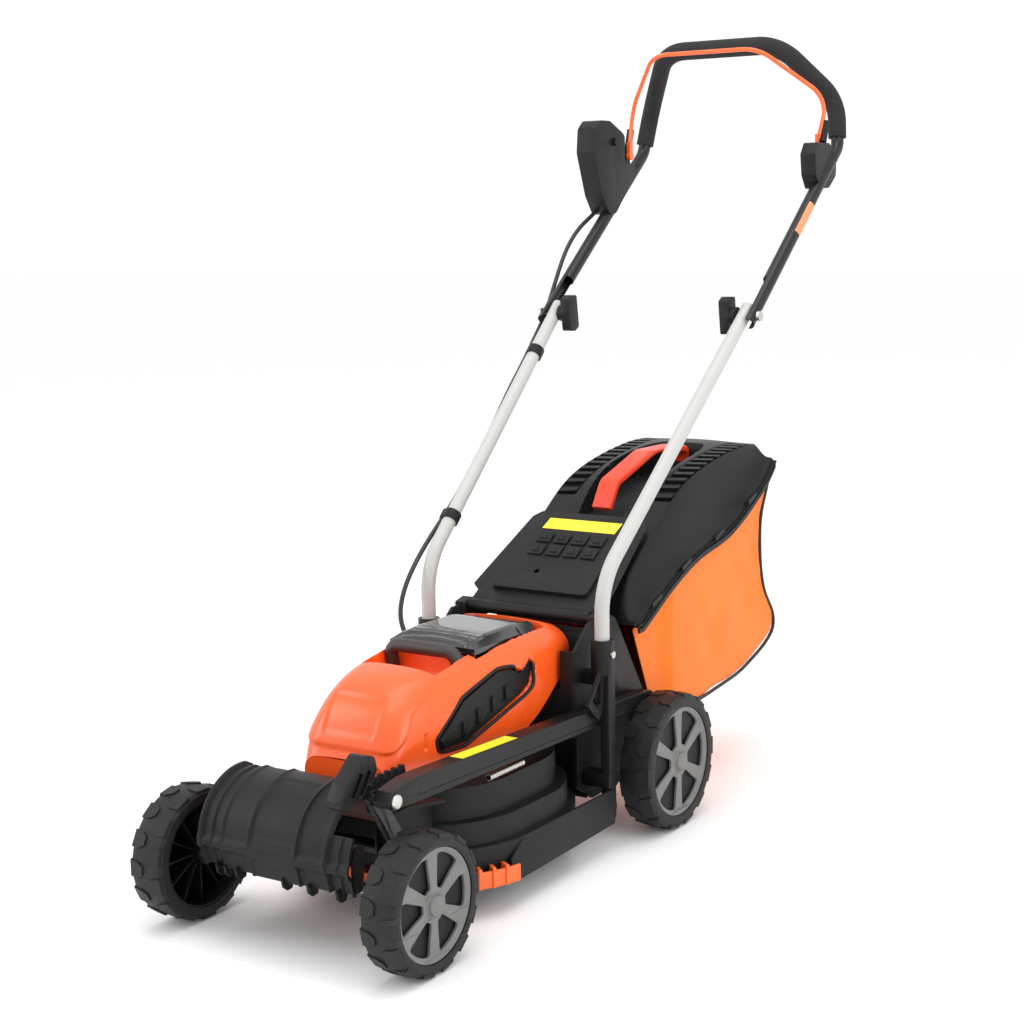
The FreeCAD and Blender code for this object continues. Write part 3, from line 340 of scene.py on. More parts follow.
def repeat_group():
    """Copies a master object to every point of a mesh, turned by the point's own angles."""
    tree = bpy.data.node_groups.new("repeat", "GeometryNodeTree")
    for label, kind in (("Geometry", "Geometry"), ("Master", "Object"), ("Finish", "Material")):
        tree.interface.new_socket(name=label, in_out="INPUT", socket_type="NodeSocket" + kind)
    tree.interface.new_socket(name="Geometry", in_out="OUTPUT", socket_type="NodeSocketGeometry")
    source, sink = tree.nodes.new("NodeGroupInput"), tree.nodes.new("NodeGroupOutput")
    turn = add(tree, "GeometryNodeInputNamedAttribute", {"data_type": "FLOAT_VECTOR"}, Name="turn")
    master = tree.nodes.new("GeometryNodeObjectInfo")
    spread = tree.nodes.new("GeometryNodeInstanceOnPoints")
    solid = tree.nodes.new("GeometryNodeRealizeInstances")
    finish = tree.nodes.new("GeometryNodeSetMaterial")
    link = tree.links.new
    link(source.outputs["Geometry"], spread.inputs["Points"])
    link(source.outputs["Master"], master.inputs["Object"])
    link(master.outputs["Geometry"], spread.inputs["Instance"])
    link(turn.outputs["Attribute"], spread.inputs["Rotation"])
    link(spread.outputs["Instances"], solid.inputs["Geometry"])
    link(solid.outputs["Geometry"], finish.inputs["Geometry"])
    link(source.outputs["Finish"], finish.inputs["Material"])
    link(finish.outputs["Geometry"], sink.inputs["Geometry"])
    return tree


REPEAT = repeat_group()


def repeated(master, places, finish):
    """Mesh of a master mesh set at every (point, turn)."""
    part = bpy.data.objects.new("master", master)
    points = bpy.data.meshes.new("points")
    points.from_pydata([place for place, turn in places], [], [])
    turns = points.attributes.new("turn", "FLOAT_VECTOR", "POINT")
    for i, (place, turn) in enumerate(places):
        turns.data[i].vector = turn
    carrier = bpy.data.objects.new("spread", points)
    for obj in (part, carrier):
        bpy.context.scene.collection.objects.link(obj)
    modifier = carrier.modifiers.new("repeat", "NODES")
    modifier.node_group = REPEAT
    for item in REPEAT.interface.items_tree:
        if item.in_out == "INPUT" and item.name in ("Master", "Finish"):
            modifier[item.identifier] = part if item.name == "Master" else finish
    mesh = baked(carrier, "repeated")
    bpy.data.objects.remove(part)
    return mesh


def bevel_round(obj, width, segments=2, angle=radians(32)):
    """Rounds the sharp edges of a piece and applies it."""
    modifier = obj.modifiers.new("round", "BEVEL")
    modifier.width = width
    modifier.segments = segments
    modifier.limit_method = "ANGLE"
    modifier.angle_limit = angle
    modifier.use_clamp_overlap = True
    graph = bpy.context.evaluated_depsgraph_get()
    mesh = bpy.data.meshes.new_from_object(obj.evaluated_get(graph))
    obj.modifiers.remove(modifier)
    return mesh


def eased(node, width, material, segments=2, name=None, body=None, angle=radians(32)):
    """A moulded copy of a CAD piece whose edges are rounded as a mould leaves them."""
    bm = bmesh.new()
    bm.from_mesh(nodes[node].data)
    bmesh.ops.remove_doubles(bm, verts=bm.verts, dist=2e-6)
    bmesh.ops.dissolve_limit(bm, angle_limit=radians(1.0), verts=bm.verts, edges=bm.edges)
    rough = bpy.data.objects.new("rough", mesh_of(bm, "rough"))
    bpy.context.scene.collection.objects.link(rough)
    mesh = bevel_round(rough, width, segments, angle) if width else rough.data.copy()
    bpy.data.objects.remove(rough)
    mesh.name = (name or node) + "_mesh"
    return piece(name or node + "_moulded", mesh, material, body or body_of[node], [node])


def dress(node, material):
    """Gives a carried-over CAD node its finish."""
    mesh = nodes[node].data
    mesh.materials.clear()
    mesh.materials.append(material)
    mesh.shade_smooth()
    mesh.set_sharp_from_angle(angle=radians(30))


body_of = {node: body for body, members in frame["record"]["behaviour"]["bodies"].items() for node in members}
BLACK = moulded("textured_black", (0.006, 0.006, 0.0063), 0.42, grain=0.4, dust=0.01, specular=0.25)
eased("deck", 0.0016, BLACK)
COMB_ORANGE = moulded("comb_orange", (0.86, 0.135, 0.02), 0.4, grain=0.2, dust=0.06)
eased("grass_comb", 0.0006, COMB_ORANGE)

# ------------------------------------------------------------------ motor, cutter and battery
# What the housing carries inside: a steel-cased motor on a zinc-plated spindle, the fan hub and pressed steel
# blade with ground edges, the battery in its bay, its red key and the control board.
STEEL = moulded("zinc_plate", (0.62, 0.61, 0.58), 0.3, grain=0.1, metallic=1.0, mottle=0.1, dust=0.0)
BLADE_STEEL = moulded("blade_steel", (0.33, 0.33, 0.34), 0.35, grain=0.3, metallic=1.0, mottle=0.15)
MOTOR_PAINT = moulded("motor_paint", (0.22, 0.22, 0.23), 0.35, metallic=0.4)
BOARD = moulded("board_lacquer", (0.02, 0.14, 0.06), 0.3)
KEY_RED = moulded("key_red", (0.7, 0.02, 0.02), 0.3)
GLOSS_BLACK = moulded("gloss_black", (0.012, 0.012, 0.013), 0.12, grain=0.02, grain_scale=500, dust=0.02, coat=0.6)
for node, finish in (("motor", MOTOR_PAINT), ("controller_board", BOARD), ("battery_pack", GLOSS_BLACK),
                     ("safety_key", KEY_RED), ("spindle", STEEL), ("blade_fan", BLACK), ("blade_bolt", STEEL)):
    dress(node, finish)
eased("blade", 0.0005, BLADE_STEEL)

# ------------------------------------------------------------------ axles and height gear
# Two 10 mm axles hang on cross shafts of black painted steel. The link bar, a moulded channel on the right, ties
# them together, and the lever's D-shaped grip springs into the notched plate beside it.
GRIP_BLACK = moulded("grip_black", (0.0065, 0.0065, 0.0068), 0.38, grain=0.3, dust=0.01, specular=0.27)
BLACK_PAINT = moulded("black_paint", (0.008, 0.008, 0.0085), 0.3, grain=0.15, grain_scale=900, dust=0.015,
                      specular=0.4)
dress("front_axle", STEEL)
dress("rear_axle", STEEL)
dress("height_spring", STEEL)
eased("front_axle_carrier", 0.0006, BLACK_PAINT)
eased("rear_axle_carrier", 0.0006, BLACK_PAINT)
eased("height_rack", 0.0008, BLACK)
eased("height_lever_grip", 0.0025, GRIP_BLACK, 3)
link_piece = eased("link_bar", 0.0015, GRIP_BLACK, 3)
LABEL_YELLOW = moulded("link_label_yellow", (0.95, 0.78, 0.03), 0.45, grain=0.02, mottle=0.02, dust=0.0)
stuck("link_label", link_piece, ((113.5, 128, 240), (131.5, 128, 240), (131.5, 238, 240), (113.5, 238, 240)),
      (0, 0, -1), LABEL_YELLOW, "link")
eased("link_screw", 0.001, STEEL)
boss = [at(133.4, 1 + 11 * cos(a * pi / 12), 185 + 11 * sin(a * pi / 12)) for a in range(24)]
piece("link_boss", prism(boss, Vector((0.0016, 0, 0)), 0.12), GRIP_BLACK, "link")

# ------------------------------------------------------------------ nose cover
# The black polypropylene moulding between the front wheels: a quarter drum over the front axle, moulded with a
# sunk centre panel, stepped bands, fins and a lip, and clipped and screwed to the front of the housing.
NOSE_Y, NOSE_Z = 24.0, 114.0


def nose_radius(x):
    """Drum radius across the nose: centre panel between two ridges, stepped bands, fins at the ends."""
    x = abs(x)
    r = 73.6 - 1.8 * step(34, 36.5, x) - 2.6 * step(74, 78, x)
    r += 1.5 * (step(30.5, 32.5, x) - step(34.5, 36.5, x)) + 1.6 * (step(70, 72.5, x) - step(75, 77.5, x))
    return r + 2.0 * (step(87.5, 89.5, x) - step(92, 94, x)) + 4.0 * step(102.5, 104.5, x)


def nose_row(x):
    r = nose_radius(x)
    panel = 1.4 * step(30, 28.5, abs(x))
    row = []
    for n in range(64):
        turn = radians(-24 + 120 * n / 63)
        dip = panel * step(12, 16, degrees(turn)) * step(78, 74, degrees(turn))
        lip = 4.5 * (step(-4, -1, degrees(turn)) - step(2, 9, degrees(turn))) - 3.5 * step(-3, -8, degrees(turn))
        reach = r - dip + lip
        row.append((x, max(NOSE_Y - reach * cos(turn), -51), NOSE_Z + reach * sin(turn)))
    row.append((x, NOSE_Y + 18, NOSE_Z + r - 6))
    return row


nose = walled("nose_mesh", [nose_row(-107.9 + 215.8 * i / 150) for i in range(151)], 3.0, (0, 30, 100),
              lambda p: not (p[0] > 77 and p[2] > 150) and not (p[0] > 101 and p[1] > -18))
# drainage tabs below the lip and the end walls that carry the axle slots
ends = []
for x in (-107.5, 104.0):
    arc = [(NOSE_Y - 64 * cos(radians(a)), NOSE_Z + 64 * sin(radians(a))) for a in range(-24, 91 if x < 0 else 31, 8)]
    arc += [(NOSE_Y - 4, 120)] if x < 0 else [(-19, 138)]
    arc += [(-19, 118), (-24, 88)]
    ends.append(prism([at(x, y, z) for y, z in arc], Vector((0.002, 0, 0))))
for x in (-88, -76, -60, 8, 44, 84):
    ends.append(prism([at(x, -44, 90), at(x, -42, 80), at(x, -36, 75), at(x, -28, 76), at(x, -24, 90)],
                      Vector((0.003, 0, 0))))
piece("nose_drum", joined("nose_joined", nose, *ends), BLACK, "chassis", ["nose_cover"])

# ------------------------------------------------------------------ rear frame and handle sockets
# Black ribbed side panels carry the rear axle, the flap hinge and the grass box; the struts beside them end in
# the two sockets that hold the handle tubes.
eased("rear_frame", 0.001, BLACK)
dress("flap_hinge_rod", STEEL)
for side in ("left", "right"):
    eased("tube_socket_" + side, 0.0012, BLACK)
dress("body_screws", STEEL)

# ------------------------------------------------------------------ lower tubes
# Two 19 mm steel tubes, each bent once above its socket and painted satin silver. A screw holds each one in its
# socket, and its upper end is drilled for the fold bolt.
SILVER = moulded("silver_paint", (0.47, 0.475, 0.455), 0.38, grain=0.2, grain_scale=1500, mottle=0.02, dust=0.03)
for side in ("left", "right"):
    dress("lower_tube_" + side, SILVER)

# ------------------------------------------------------------------ motor cover
# The glossy orange hood over the motor and the battery, one thin ABS moulding with a raised shield in front, side
# vents of black plastic, a scoop under the carry handle and a bay for the battery. Four screws hold it down.
ORANGE = moulded("hood_orange", (0.95, 0.10, 0.008), 0.33, grain=0.05, grain_scale=700, mottle=0.02, dust=0.015,
                 coat=0.2)
HOOD = [(80, 60, 50, 158, 176, 190), (96, 66, 46, 158, 205, 232), (120, 71, 46, 158, 225, 262),
        (170, 78, 52, 160, 246, 279), (240, 83, 58, 166, 262, 288), (300, 86, 62, 172, 272, 294),
        (350, 86, 62, 190, 276, 296), (400, 84, 62, 221, 276, 296), (436, 78, 58, 238, 268, 286)]
HOOD_FLOOR = 158
VENT = [(152, 204), (160, 192), (204, 190), (318, 222), (338, 232), (346, 254), (334, 264), (318, 252), (296, 262),
        (270, 264), (200, 244)]
SHIELD = [(60, 203), (88, 203), (100, 210), (112, 222), (125, 240), (150, 256), (180, 268), (230, 276)]


def inside(outline, y, z):
    """How far a point lies inside a closed outline, negative outside."""
    nearest, odd = 1e9, False
    for (ya, za), (yb, zb) in zip(outline, outline[1:] + outline[:1]):
        t = ((y - ya) * (yb - ya) + (z - za) * (zb - za)) / ((yb - ya) ** 2 + (zb - za) ** 2)
        t = min(max(t, 0.0), 1.0)
        nearest = min(nearest, hypot(y - ya - t * (yb - ya), z - za - t * (zb - za)))
        if (za > z) != (zb > z) and y < (yb - ya) * (z - za) / (zb - za) + ya:
            odd = not odd
    return nearest if odd else -nearest


def hood_point(x, y, z):
    """A point of the plain hood moved to form its ridges, recesses, handle scoop and battery bay."""
    side = abs(x)
    ridge = 2.4 * step(-1.5, 1.5, z - along(SHIELD, y)[0]) * step(215, 150, y)
    grow = 1 + ridge / 80
    x, z = x * (grow if side > 20 else 1 + (grow - 1) * side / 20), z + ridge * 0.7 * step(60, 40, side)
    y -= ridge * step(118, 96, y)
    panel = step(37, 34, side) * step(217, 221, z) * step(262, 257, z) * step(118, 112, y)
    y, z = y + 1.6 * panel, z - 0.8 * panel
    slit = step(-0.5, 1.2, inside([(134, 197), (138, 197), (138, 217), (134, 217)], y, z))
    vent = step(-1.5, 1.0, inside(VENT, y, z)) if side > 55 else 0
    sign = 1 if x > 0 else -1
    x += sign * (min(73.6 - abs(x), 0) * vent - 3 * slit * (side > 55))
    if z > 240:
        scoop = step(56, 53, side) * step(174, 178, y) * step(250, 246, y)
        z += (min(z, 248 + 30 * step(196, 176, y) + 20 * step(240, 250, y)) - z) * scoop
        seat = step(67, 65.5, side) * step(247, 249, y) * step(397, 395, y)
        z += (min(z, 283) - z) * seat
        bay = step(66.2, 64.8, side) * step(248.6, 250.6, y) * step(396.8, 395.6, y)
        z += (min(z, 209.5) - z) * bay
    return x, y, z


def hood_row(y):
    bottom, top, low, shoulder, high = along(HOOD, y)
    low = max(low, HOOD_FLOOR)
    corner = [Vector((-bottom, low)), Vector((-bottom - 1, shoulder)), Vector((-top, high - 1)), Vector((0, high + 2)),
              Vector((top, high - 1)), Vector((bottom + 1, shoulder)), Vector((bottom, low))]
    return [hood_point(p.x, y, p.y) for p in spaced(softened(corner, 24), 171)]


hood = walled("hood_mesh", [hood_row(80 + 356 * (i / 160) ** 1.25) for i in range(161)], 2.6, (0, 260, 200))
closing = []
for y, thick in ((80.4, 2.6), (433.0, 2.6)):
    bottom, top, low, shoulder, high = along(HOOD, y)
    ring = softened([Vector((-bottom + 1, low)), Vector((-bottom + 1, shoulder)), Vector((-top, high - 2)),
                     Vector((top, high - 2)), Vector((bottom - 1, shoulder)), Vector((bottom - 1, low))], 12)
    closing.append(prism([at(p.x, y, p.y) for p in ring], Vector((0, thick / 1000, 0))))
piece("hood_moulded", joined("hood_joined", hood, *closing), ORANGE, "chassis", ["motor_cover"],
      smooth=radians(50))
hood_piece = bpy.data.objects["hood_moulded"]
for side, sign in (("left", -1), ("right", 1)):
    eased("vent_insert_" + side, 0.001, GRIP_BLACK)
    ring = []
    loop = [Vector(p) for p in VENT]
    for before, here, after in zip(loop[-1:] + loop, loop, loop[1:] + loop[:1]):
        away = ((here - before).normalized() + (after - here).normalized()).normalized()
        across = Vector((-away.y, away.x))
        for spot in (here - away * 4, here + away * 4):
            spot = spot + across * -1.6 * (1 if inside(VENT, *(spot + across * 2.5)) > 0 else -1)
            x, y, z = touch(hood_piece, (sign * 130, spot.x, spot.y), (-sign, 0, 0))
            ring.append((x + sign * 0.2, spot.x, spot.y))
    piece("vent_rim_" + side, cord(ring + ring[:1], 2.3), GRIP_BLACK, "chassis")
HANDLE_BROWN = moulded("carry_black", (0.03, 0.024, 0.022), 0.42, grain=0.3)
eased("carry_handle", 0.0015, HANDLE_BROWN)


def lid_height(x, y):
    """Top of the battery lid: a shallow crown with bevelled flanks, corner facets and three ridges in front."""
    crown = 291 + 8.5 * step(247, 268, y) + 2.5 * step(262, 300, y) - 6 * step(358, 396, y)
    flank = 302.6 - 0.85 * max(abs(x) - 50, 0) - 0.35 * max(abs(x) + (y - 350) * 0.6 - 52, 0) * step(345, 352, y)
    curve = y + 7 * (x / 60) ** 2
    ridges = sum(1.8 * (step(c - 4, c - 1.5, curve) - step(c + 1.5, c + 4, curve)) for c in (258, 269, 280))
    return min(crown + ridges * step(52, 46, abs(x)), flank)


lid_rows = []
for i in range(59):
    y = 250 + 144 * (i - 1) / 56
    edge = i in (0, 58)
    y = min(max(y, 250), 394)
    row = [(min(max(-63.9 + 127.8 * (j - 1) / 52, -63.9), 63.9), y) for j in range(55)]
    lid_rows.append([(x, y, 284.4 if edge or j in (0, 54) else lid_height(x, y)) for j, (x, y) in enumerate(row)])
lid = walled("battery_lid_mesh", lid_rows, 2.2, (0, 320, 270))
barrel = prism([at(-40, 381 + 4 * cos(a * pi / 6), 288 + 4 * sin(a * pi / 6)) for a in range(12)],
               Vector((0.08, 0, 0)))
piece("battery_lid_moulded", joined("battery_lid_joined", lid, barrel), GLOSS_BLACK, "battery_cover",
      ["battery_lid"])

# ------------------------------------------------------------------ rear flap
# The black sprung flap over the discharge chute, moulded with a raised middle and a hinge barrel that turns on a
# steel rod. It carries a plain yellow film and an embossed grid of squares and triangles.
flap = eased("rear_flap", 0.0018, BLACK, 3)
YELLOW = moulded("label_yellow", (0.95, 0.78, 0.03), 0.45, grain=0.02, mottle=0.02, dust=0.0)
PALE = moulded("label_pale", (0.9, 0.27, 0.13), 0.45, grain=0.02, mottle=0.02, dust=0.0)
FLAP_RUN = Vector((0, 162, 103)).normalized()
FLAP_UP = Vector((0, -FLAP_RUN.z, FLAP_RUN.y))


def on_flap(x, reach, lift=30.0):
    return Vector((x, 465, 295)) + FLAP_RUN * reach + FLAP_UP * lift


stuck("flap_label", flap, (on_flap(-58, 148), on_flap(58, 148), on_flap(60, 170), on_flap(-56, 170)), -FLAP_UP,
      YELLOW, "flap")
tile = [Vector((x, y, 0)) for x, y in ((-0.0115, -0.0105), (0.0115, -0.0105), (0.0115, 0.0105), (-0.0115, 0.0105))]
sign_mark = [Vector((x, y, 0)) for x, y in ((-0.006, -0.005), (0.006, -0.005), (0, 0.006))]
tilt = (atan2(FLAP_RUN.z, FLAP_RUN.y), 0, 0)
spots = [(-42 + 28 * i, 104 + 25 * j) for i in range(4) for j in range(2)]
tiles = repeated(prism(tile, Vector((0, 0, 0.0011)), 0.05), [(at(*on_flap(x, r, 8.6)), tilt) for x, r in spots], BLACK)
marks = repeated(prism(sign_mark, Vector((0, 0, 0.0012)), 0.1), [(at(*on_flap(x, r, 9.5)), tilt) for x, r in spots],
                 BLACK)
piece("flap_embossing", joined("flap_embossing_mesh", tiles, marks), BLACK, "flap")

# ------------------------------------------------------------------ grass box
# A black moulded lid with louvres and a recess under its red-orange handle, and below it a bag of woven orange
# cloth, bound in black, that hangs from the rim of the lid and sags between its seams.
TOP = [(533, 272), (542, 300), (560, 330), (620, 376), (690, 425), (740, 446), (807, 461), (880, 470), (930, 470),
       (940, 466), (946, 444)]
RIM = [(533, 268), (544, 266), (622, 306), (697, 336), (806, 360), (913, 413), (946, 441)]
RECESS = [(638, 33), (660, 38), (700, 44), (760, 51), (820, 51), (860, 45), (884, 34)]


def lid_surface(x, y):
    """Height of the box lid: a crowned middle, shoulders sloping to the rim flange, recess and louvre channels."""
    top, rim = along(TOP, y)[0], along(RIM, y)[0]
    side = abs(x)
    ledge = rim + 3 + 5 * step(121, 119, side)
    shoulder = top - 2.5 - (top - 2.5 - ledge) * step(92, 119, side) ** 0.9
    z = top - 2.5 * step(0, 90, side) if side < 90 else shoulder
    z = min(z, top - 1.6 * (step(96.5, 98, side)))
    edge = step(638, 652, y) * step(886, 874, y)
    width = along(RECESS, min(max(y, 638), 884))[0]
    floor = 372 + 30 * step(636, 720, y) + 20 * step(700, 830, y)
    hollow = step(width, width - 2.5, side) * edge
    z += (min(z, floor) - z) * hollow
    channel = step(60.5, 63, side) * step(93.5, 91, side) * step(676, 680, y) * step(918, 914, y)
    z -= 5.5 * channel
    return max(z, rim + 2)


# a longer pitch along the lid follows its steep front closely
lid_y = [533 + 413 * i / 165 for i in range(166)]
box_rows = [[(x, y, lid_surface(x, y)) for x in [-125.8 + 251.6 * j / 110 for j in range(111)]] for y in lid_y]
box = walled("box_lid_mesh", box_rows, 2.6, (0, 740, 300))
slats = []
bars = prism([Vector((sx * 0.0155, sy * 0.0042 + sx * 0.002, 0))
                         for sx, sy in ((-1, -1), (1, -1), (1, 1), (-1, 1))], Vector((0, 0, 0.005)), 0.06)
for sign in (1, -1):
    for i in range(12):
        y = 688 + 19.6 * i
        rise = along(TOP, y + 4)[0] - along(TOP, y - 4)[0]
        slats.append((at(sign * 77, y, along(TOP, y)[0] - 7.6), (atan2(rise, 8), 0, 0)))
louvres = repeated(bars, slats, BLACK)
clips = []
for y, z in ((585, 290), (668, 325), (765, 352), (868, 390)):
    for x in (-126.0, 124.0):
        clips.append(prism([at(x, y - 13, z - 2), at(x, y + 13, z + 8), at(x, y + 11, z + 14), at(x, y - 15, z + 4)],
                           Vector((0.002, 0, 0))))
flange = []
for x in (-125.8, 122.8):
    ribbon = [at(x, y, along(RIM, y)[0] + 4) for y in range(536, 945, 12)]
    ribbon += [at(x, y, along(RIM, y)[0] - 7) for y in range(944, 535, -12)]
    flange.append(prism(ribbon, Vector((0.003, 0, 0))))
piece("box_lid_moulded", joined("box_lid_joined", box, louvres, *flange, *clips), BLACK, "grass_box",
      ["box_lid"])
RED_ORANGE = moulded("handle_red", (0.8, 0.05, 0.012), 0.38, grain=0.1)
eased("box_handle", 0.001, RED_ORANGE)


def woven(name, color):
    """Plain weave: crossing threads that darken the gaps and lift the surface."""
    material = moulded(name, color, 0.85, grain=0.2, specular=0.2, dust=0.02)
    tree = material.node_tree
    shader = tree.nodes["Principled BSDF"]
    place = add(tree, "ShaderNodeTexCoord")
    threads = []
    for axis in ("Y", "Z"):
        wave = add(tree, "ShaderNodeTexWave", {"bands_direction": axis}, Scale=160.0, Distortion=0.4)
        tree.links.new(place.outputs["Object"], wave.inputs["Vector"])
        threads.append(wave)
    cross = add(tree, "ShaderNodeMath", {"operation": "MULTIPLY"})
    for k, wave in enumerate(threads):
        tree.links.new(wave.outputs["Fac"], cross.inputs[k])
    raised = add(tree, "ShaderNodeBump", Strength=0.6, Distance=0.0006)
    tree.links.new(cross.outputs[0], raised.inputs["Height"])
    tree.links.new(raised.outputs["Normal"], shader.inputs["Normal"])
    shader.inputs["Sheen Weight"].default_value = 0.2
    return material


CLOTH = woven("bag_cloth", (0.95, 0.19, 0.015))
BINDING = woven("bag_binding", (0.03, 0.03, 0.03))
HEM = [Vector(p) for p in ((598, 136), (650, 130), (713, 129), (838, 141), (915, 164), (951, 183), (952, 205),
                           (940, 222), (917, 248), (906, 285), (903, 320), (904, 365), (926, 404), (938, 430))]
SEAM = [Vector(p) for p in ((545, 262), (622, 302), (697, 331), (806, 355), (912, 408), (938, 432))]
columns = 110
hem, seam = spaced(softened(HEM, 26), columns), spaced(SEAM, columns)
bag_rows = []
for i in range(columns):
    low, high = hem[i], seam[i]
    inward = (high - low).normalized() if (high - low).length > 1e-6 else Vector((0, 1))
    row = []
    span = (high - low).length
    corner = min(13.0, span * 0.3)
    across = [Vector((-120, span)), Vector((-120, 0)), Vector((120, 0)), Vector((120, span))]
    for p in spaced(softened(across, corner), 121):
        spot = low + inward * p.y
        depth = p.y / max(span, 1)
        x = p.x * (110 + 10 * step(606, 644, spot.x)) / 120
        if p.y > 1:
            slack = sin(pi * min(depth * 1.05, 1)) * sin(pi * i / columns)
            fold = noise.noise(Vector((spot.x * 0.018, spot.y * 0.03, 3 if x > 0 else 9)))
            x += (1 if x > 0 else -1) * slack * (-3.2 + 4.0 * fold)
        sag = 3.0 * noise.noise(Vector((x * 0.02, i * 0.11, 1))) - 3.5 * (1 - (x / 120) ** 2)
        sink = (1 - step(0, 30, p.y)) * step(0, 12, i) * step(columns, columns - 12, i)
        row.append((x, spot.x, spot.y + sag * sink))
    bag_rows.append(row)
piece("bag_cloth_shell", walled("bag_mesh", bag_rows, 1.2, (0, 740, 250)), CLOTH, "grass_box",
      ["grass_bag"], smooth=radians(70))


for side in (-1, 1):
    line = [(side * (109.2 + 10 * step(606, 644, p.x)), p.x, p.y) for p in hem[6:-2:3]]
    piece("bag_binding_" + ("left" if side < 0 else "right"), cord(line, 2.6), BINDING, "grass_box")

# ------------------------------------------------------------------ upper handle
# Black painted steel tube bent to a loop, with a foam sleeve over the grip, an orange steel bail in black boots,
# the moulded switch box and bail bracket, the fold bolts with their wing knobs, and the control cable.
for node, finish in (("upper_handle", BLACK_PAINT), ("handle_bolts", STEEL), ("safety_button", BLACK)):
    dress(node, finish)
FOAM = moulded("grip_foam", (0.009, 0.009, 0.0095), 0.8, grain=1.2, grain_scale=900, dust=0.03)
dress("foam_grip", FOAM)
ROD_ORANGE = moulded("rod_orange", (0.93, 0.12, 0.015), 0.3, coat=0.3)
dress("bail_lever", ROD_ORANGE)
for side in (-1, 1):
    boot = [(side * 167, 1013, 910), (side * 167, 1018, 922), (side * 167, 1023, 941)]
    piece("bail_boot_" + ("left" if side < 0 else "right"), cord(boot, 5.6), GRIP_BLACK, "bail")
stuck("tube_label", nodes["upper_handle"], ((200, 905, 782), (200, 915, 770), (200, 965, 812), (200, 955, 824)),
      (-1, 0, 0), PALE, "handle", cells=16)
eased("switch_box", 0.008, GRIP_BLACK, 4)
eased("bail_bracket", 0.006, GRIP_BLACK, 4)
for side in ("left", "right"):
    eased("wing_knob_" + side, 0.002, GRIP_BLACK, 3)
SHEATH = moulded("cable_sheath", (0.012, 0.012, 0.013), 0.35, grain=0.05)
ROUTE = [(-178, 952, 824), (-182, 928, 808), (-185, 892, 788), (-186, 860, 759), (-186, 836, 724),
         (-186, 815.5, 689.2), (-185, 790, 654), (-180, 756, 626), (-171, 714, 596), (-167, 670, 560),
         (-162, 616, 508), (-158, 562, 462), (-154, 512, 420), (-152, 462, 386), (-151, 424, 356), (-149, 392, 324),
         (-147, 376, 292), (-136, 370, 266), (-112, 366, 250), (-86, 364, 246)]
cable = piece("cable_soft", cord(ROUTE, 3.2), SHEATH, None, smooth=radians(60))
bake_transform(cable)
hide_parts("cable_lower", "cable_upper")
eased("cable_clips", 0.0005, BLACK)

# ------------------------------------------------------------------ wheels
# Black ribbed wheel bodies of polypropylene, each with a blocked rubber tyre over it and a grey six-spoke cover
# clipped to its face.
TYRE = moulded("tyre_black", (0.012, 0.012, 0.012), 0.5, grain=0.5, dust=0.05, specular=0.28)
GREY = moulded("cover_grey", (0.15, 0.15, 0.146), 0.4, grain=0.25)


def solid_ring(name, rings):
    """A closed ring of sections whose last one meets the first."""
    bm = bmesh.new()
    grid = [[bm.verts.new(at(*p)) for p in ring[:-1]] for ring in rings[:-1]]
    for i in range(len(grid)):
        for j in range(len(grid[0])):
            a, b = grid[i], grid[(i + 1) % len(grid)]
            k = (j + 1) % len(grid[0])
            bm.faces.new((a[j], b[j], b[k], a[k]))
    bmesh.ops.recalc_face_normals(bm, faces=bm.faces)
    return mesh_of(bm, name)


def lug(sign, x0, x1, y, radius, turn, half, outside):
    """A tread block: wide at the shoulder and notched towards the middle of the tread."""
    near, far = (x1, x0) if outside else (x0, x1)
    ring = [(near, -half), (near, half), (far + (near - far) * 0.35, half * 0.8), (far, half * 0.35),
            (far, -half * 0.6), (far + (near - far) * 0.4, -half * 1.1)]

    def spot(x, angle, r):
        return at(sign * x, y + r * sin(turn + angle), radius + r * cos(turn + angle))

    bm = bmesh.new()
    low = [bm.verts.new(spot(x, a, radius - 6)) for x, a in ring]
    high = [bm.verts.new(spot(x + (far - near) * 0.05 * (x == near), a * 0.93, radius - (1.6 if x == near else 0.3)))
            for x, a in ring]
    bm.faces.new(low)
    bm.faces.new(high[::-1])
    for k in range(len(ring)):
        n = (k + 1) % len(ring)
        bm.faces.new((low[k], high[k], high[n], low[n]))
    bmesh.ops.recalc_face_normals(bm, faces=bm.faces)
    return mesh_of(bm, "lug")


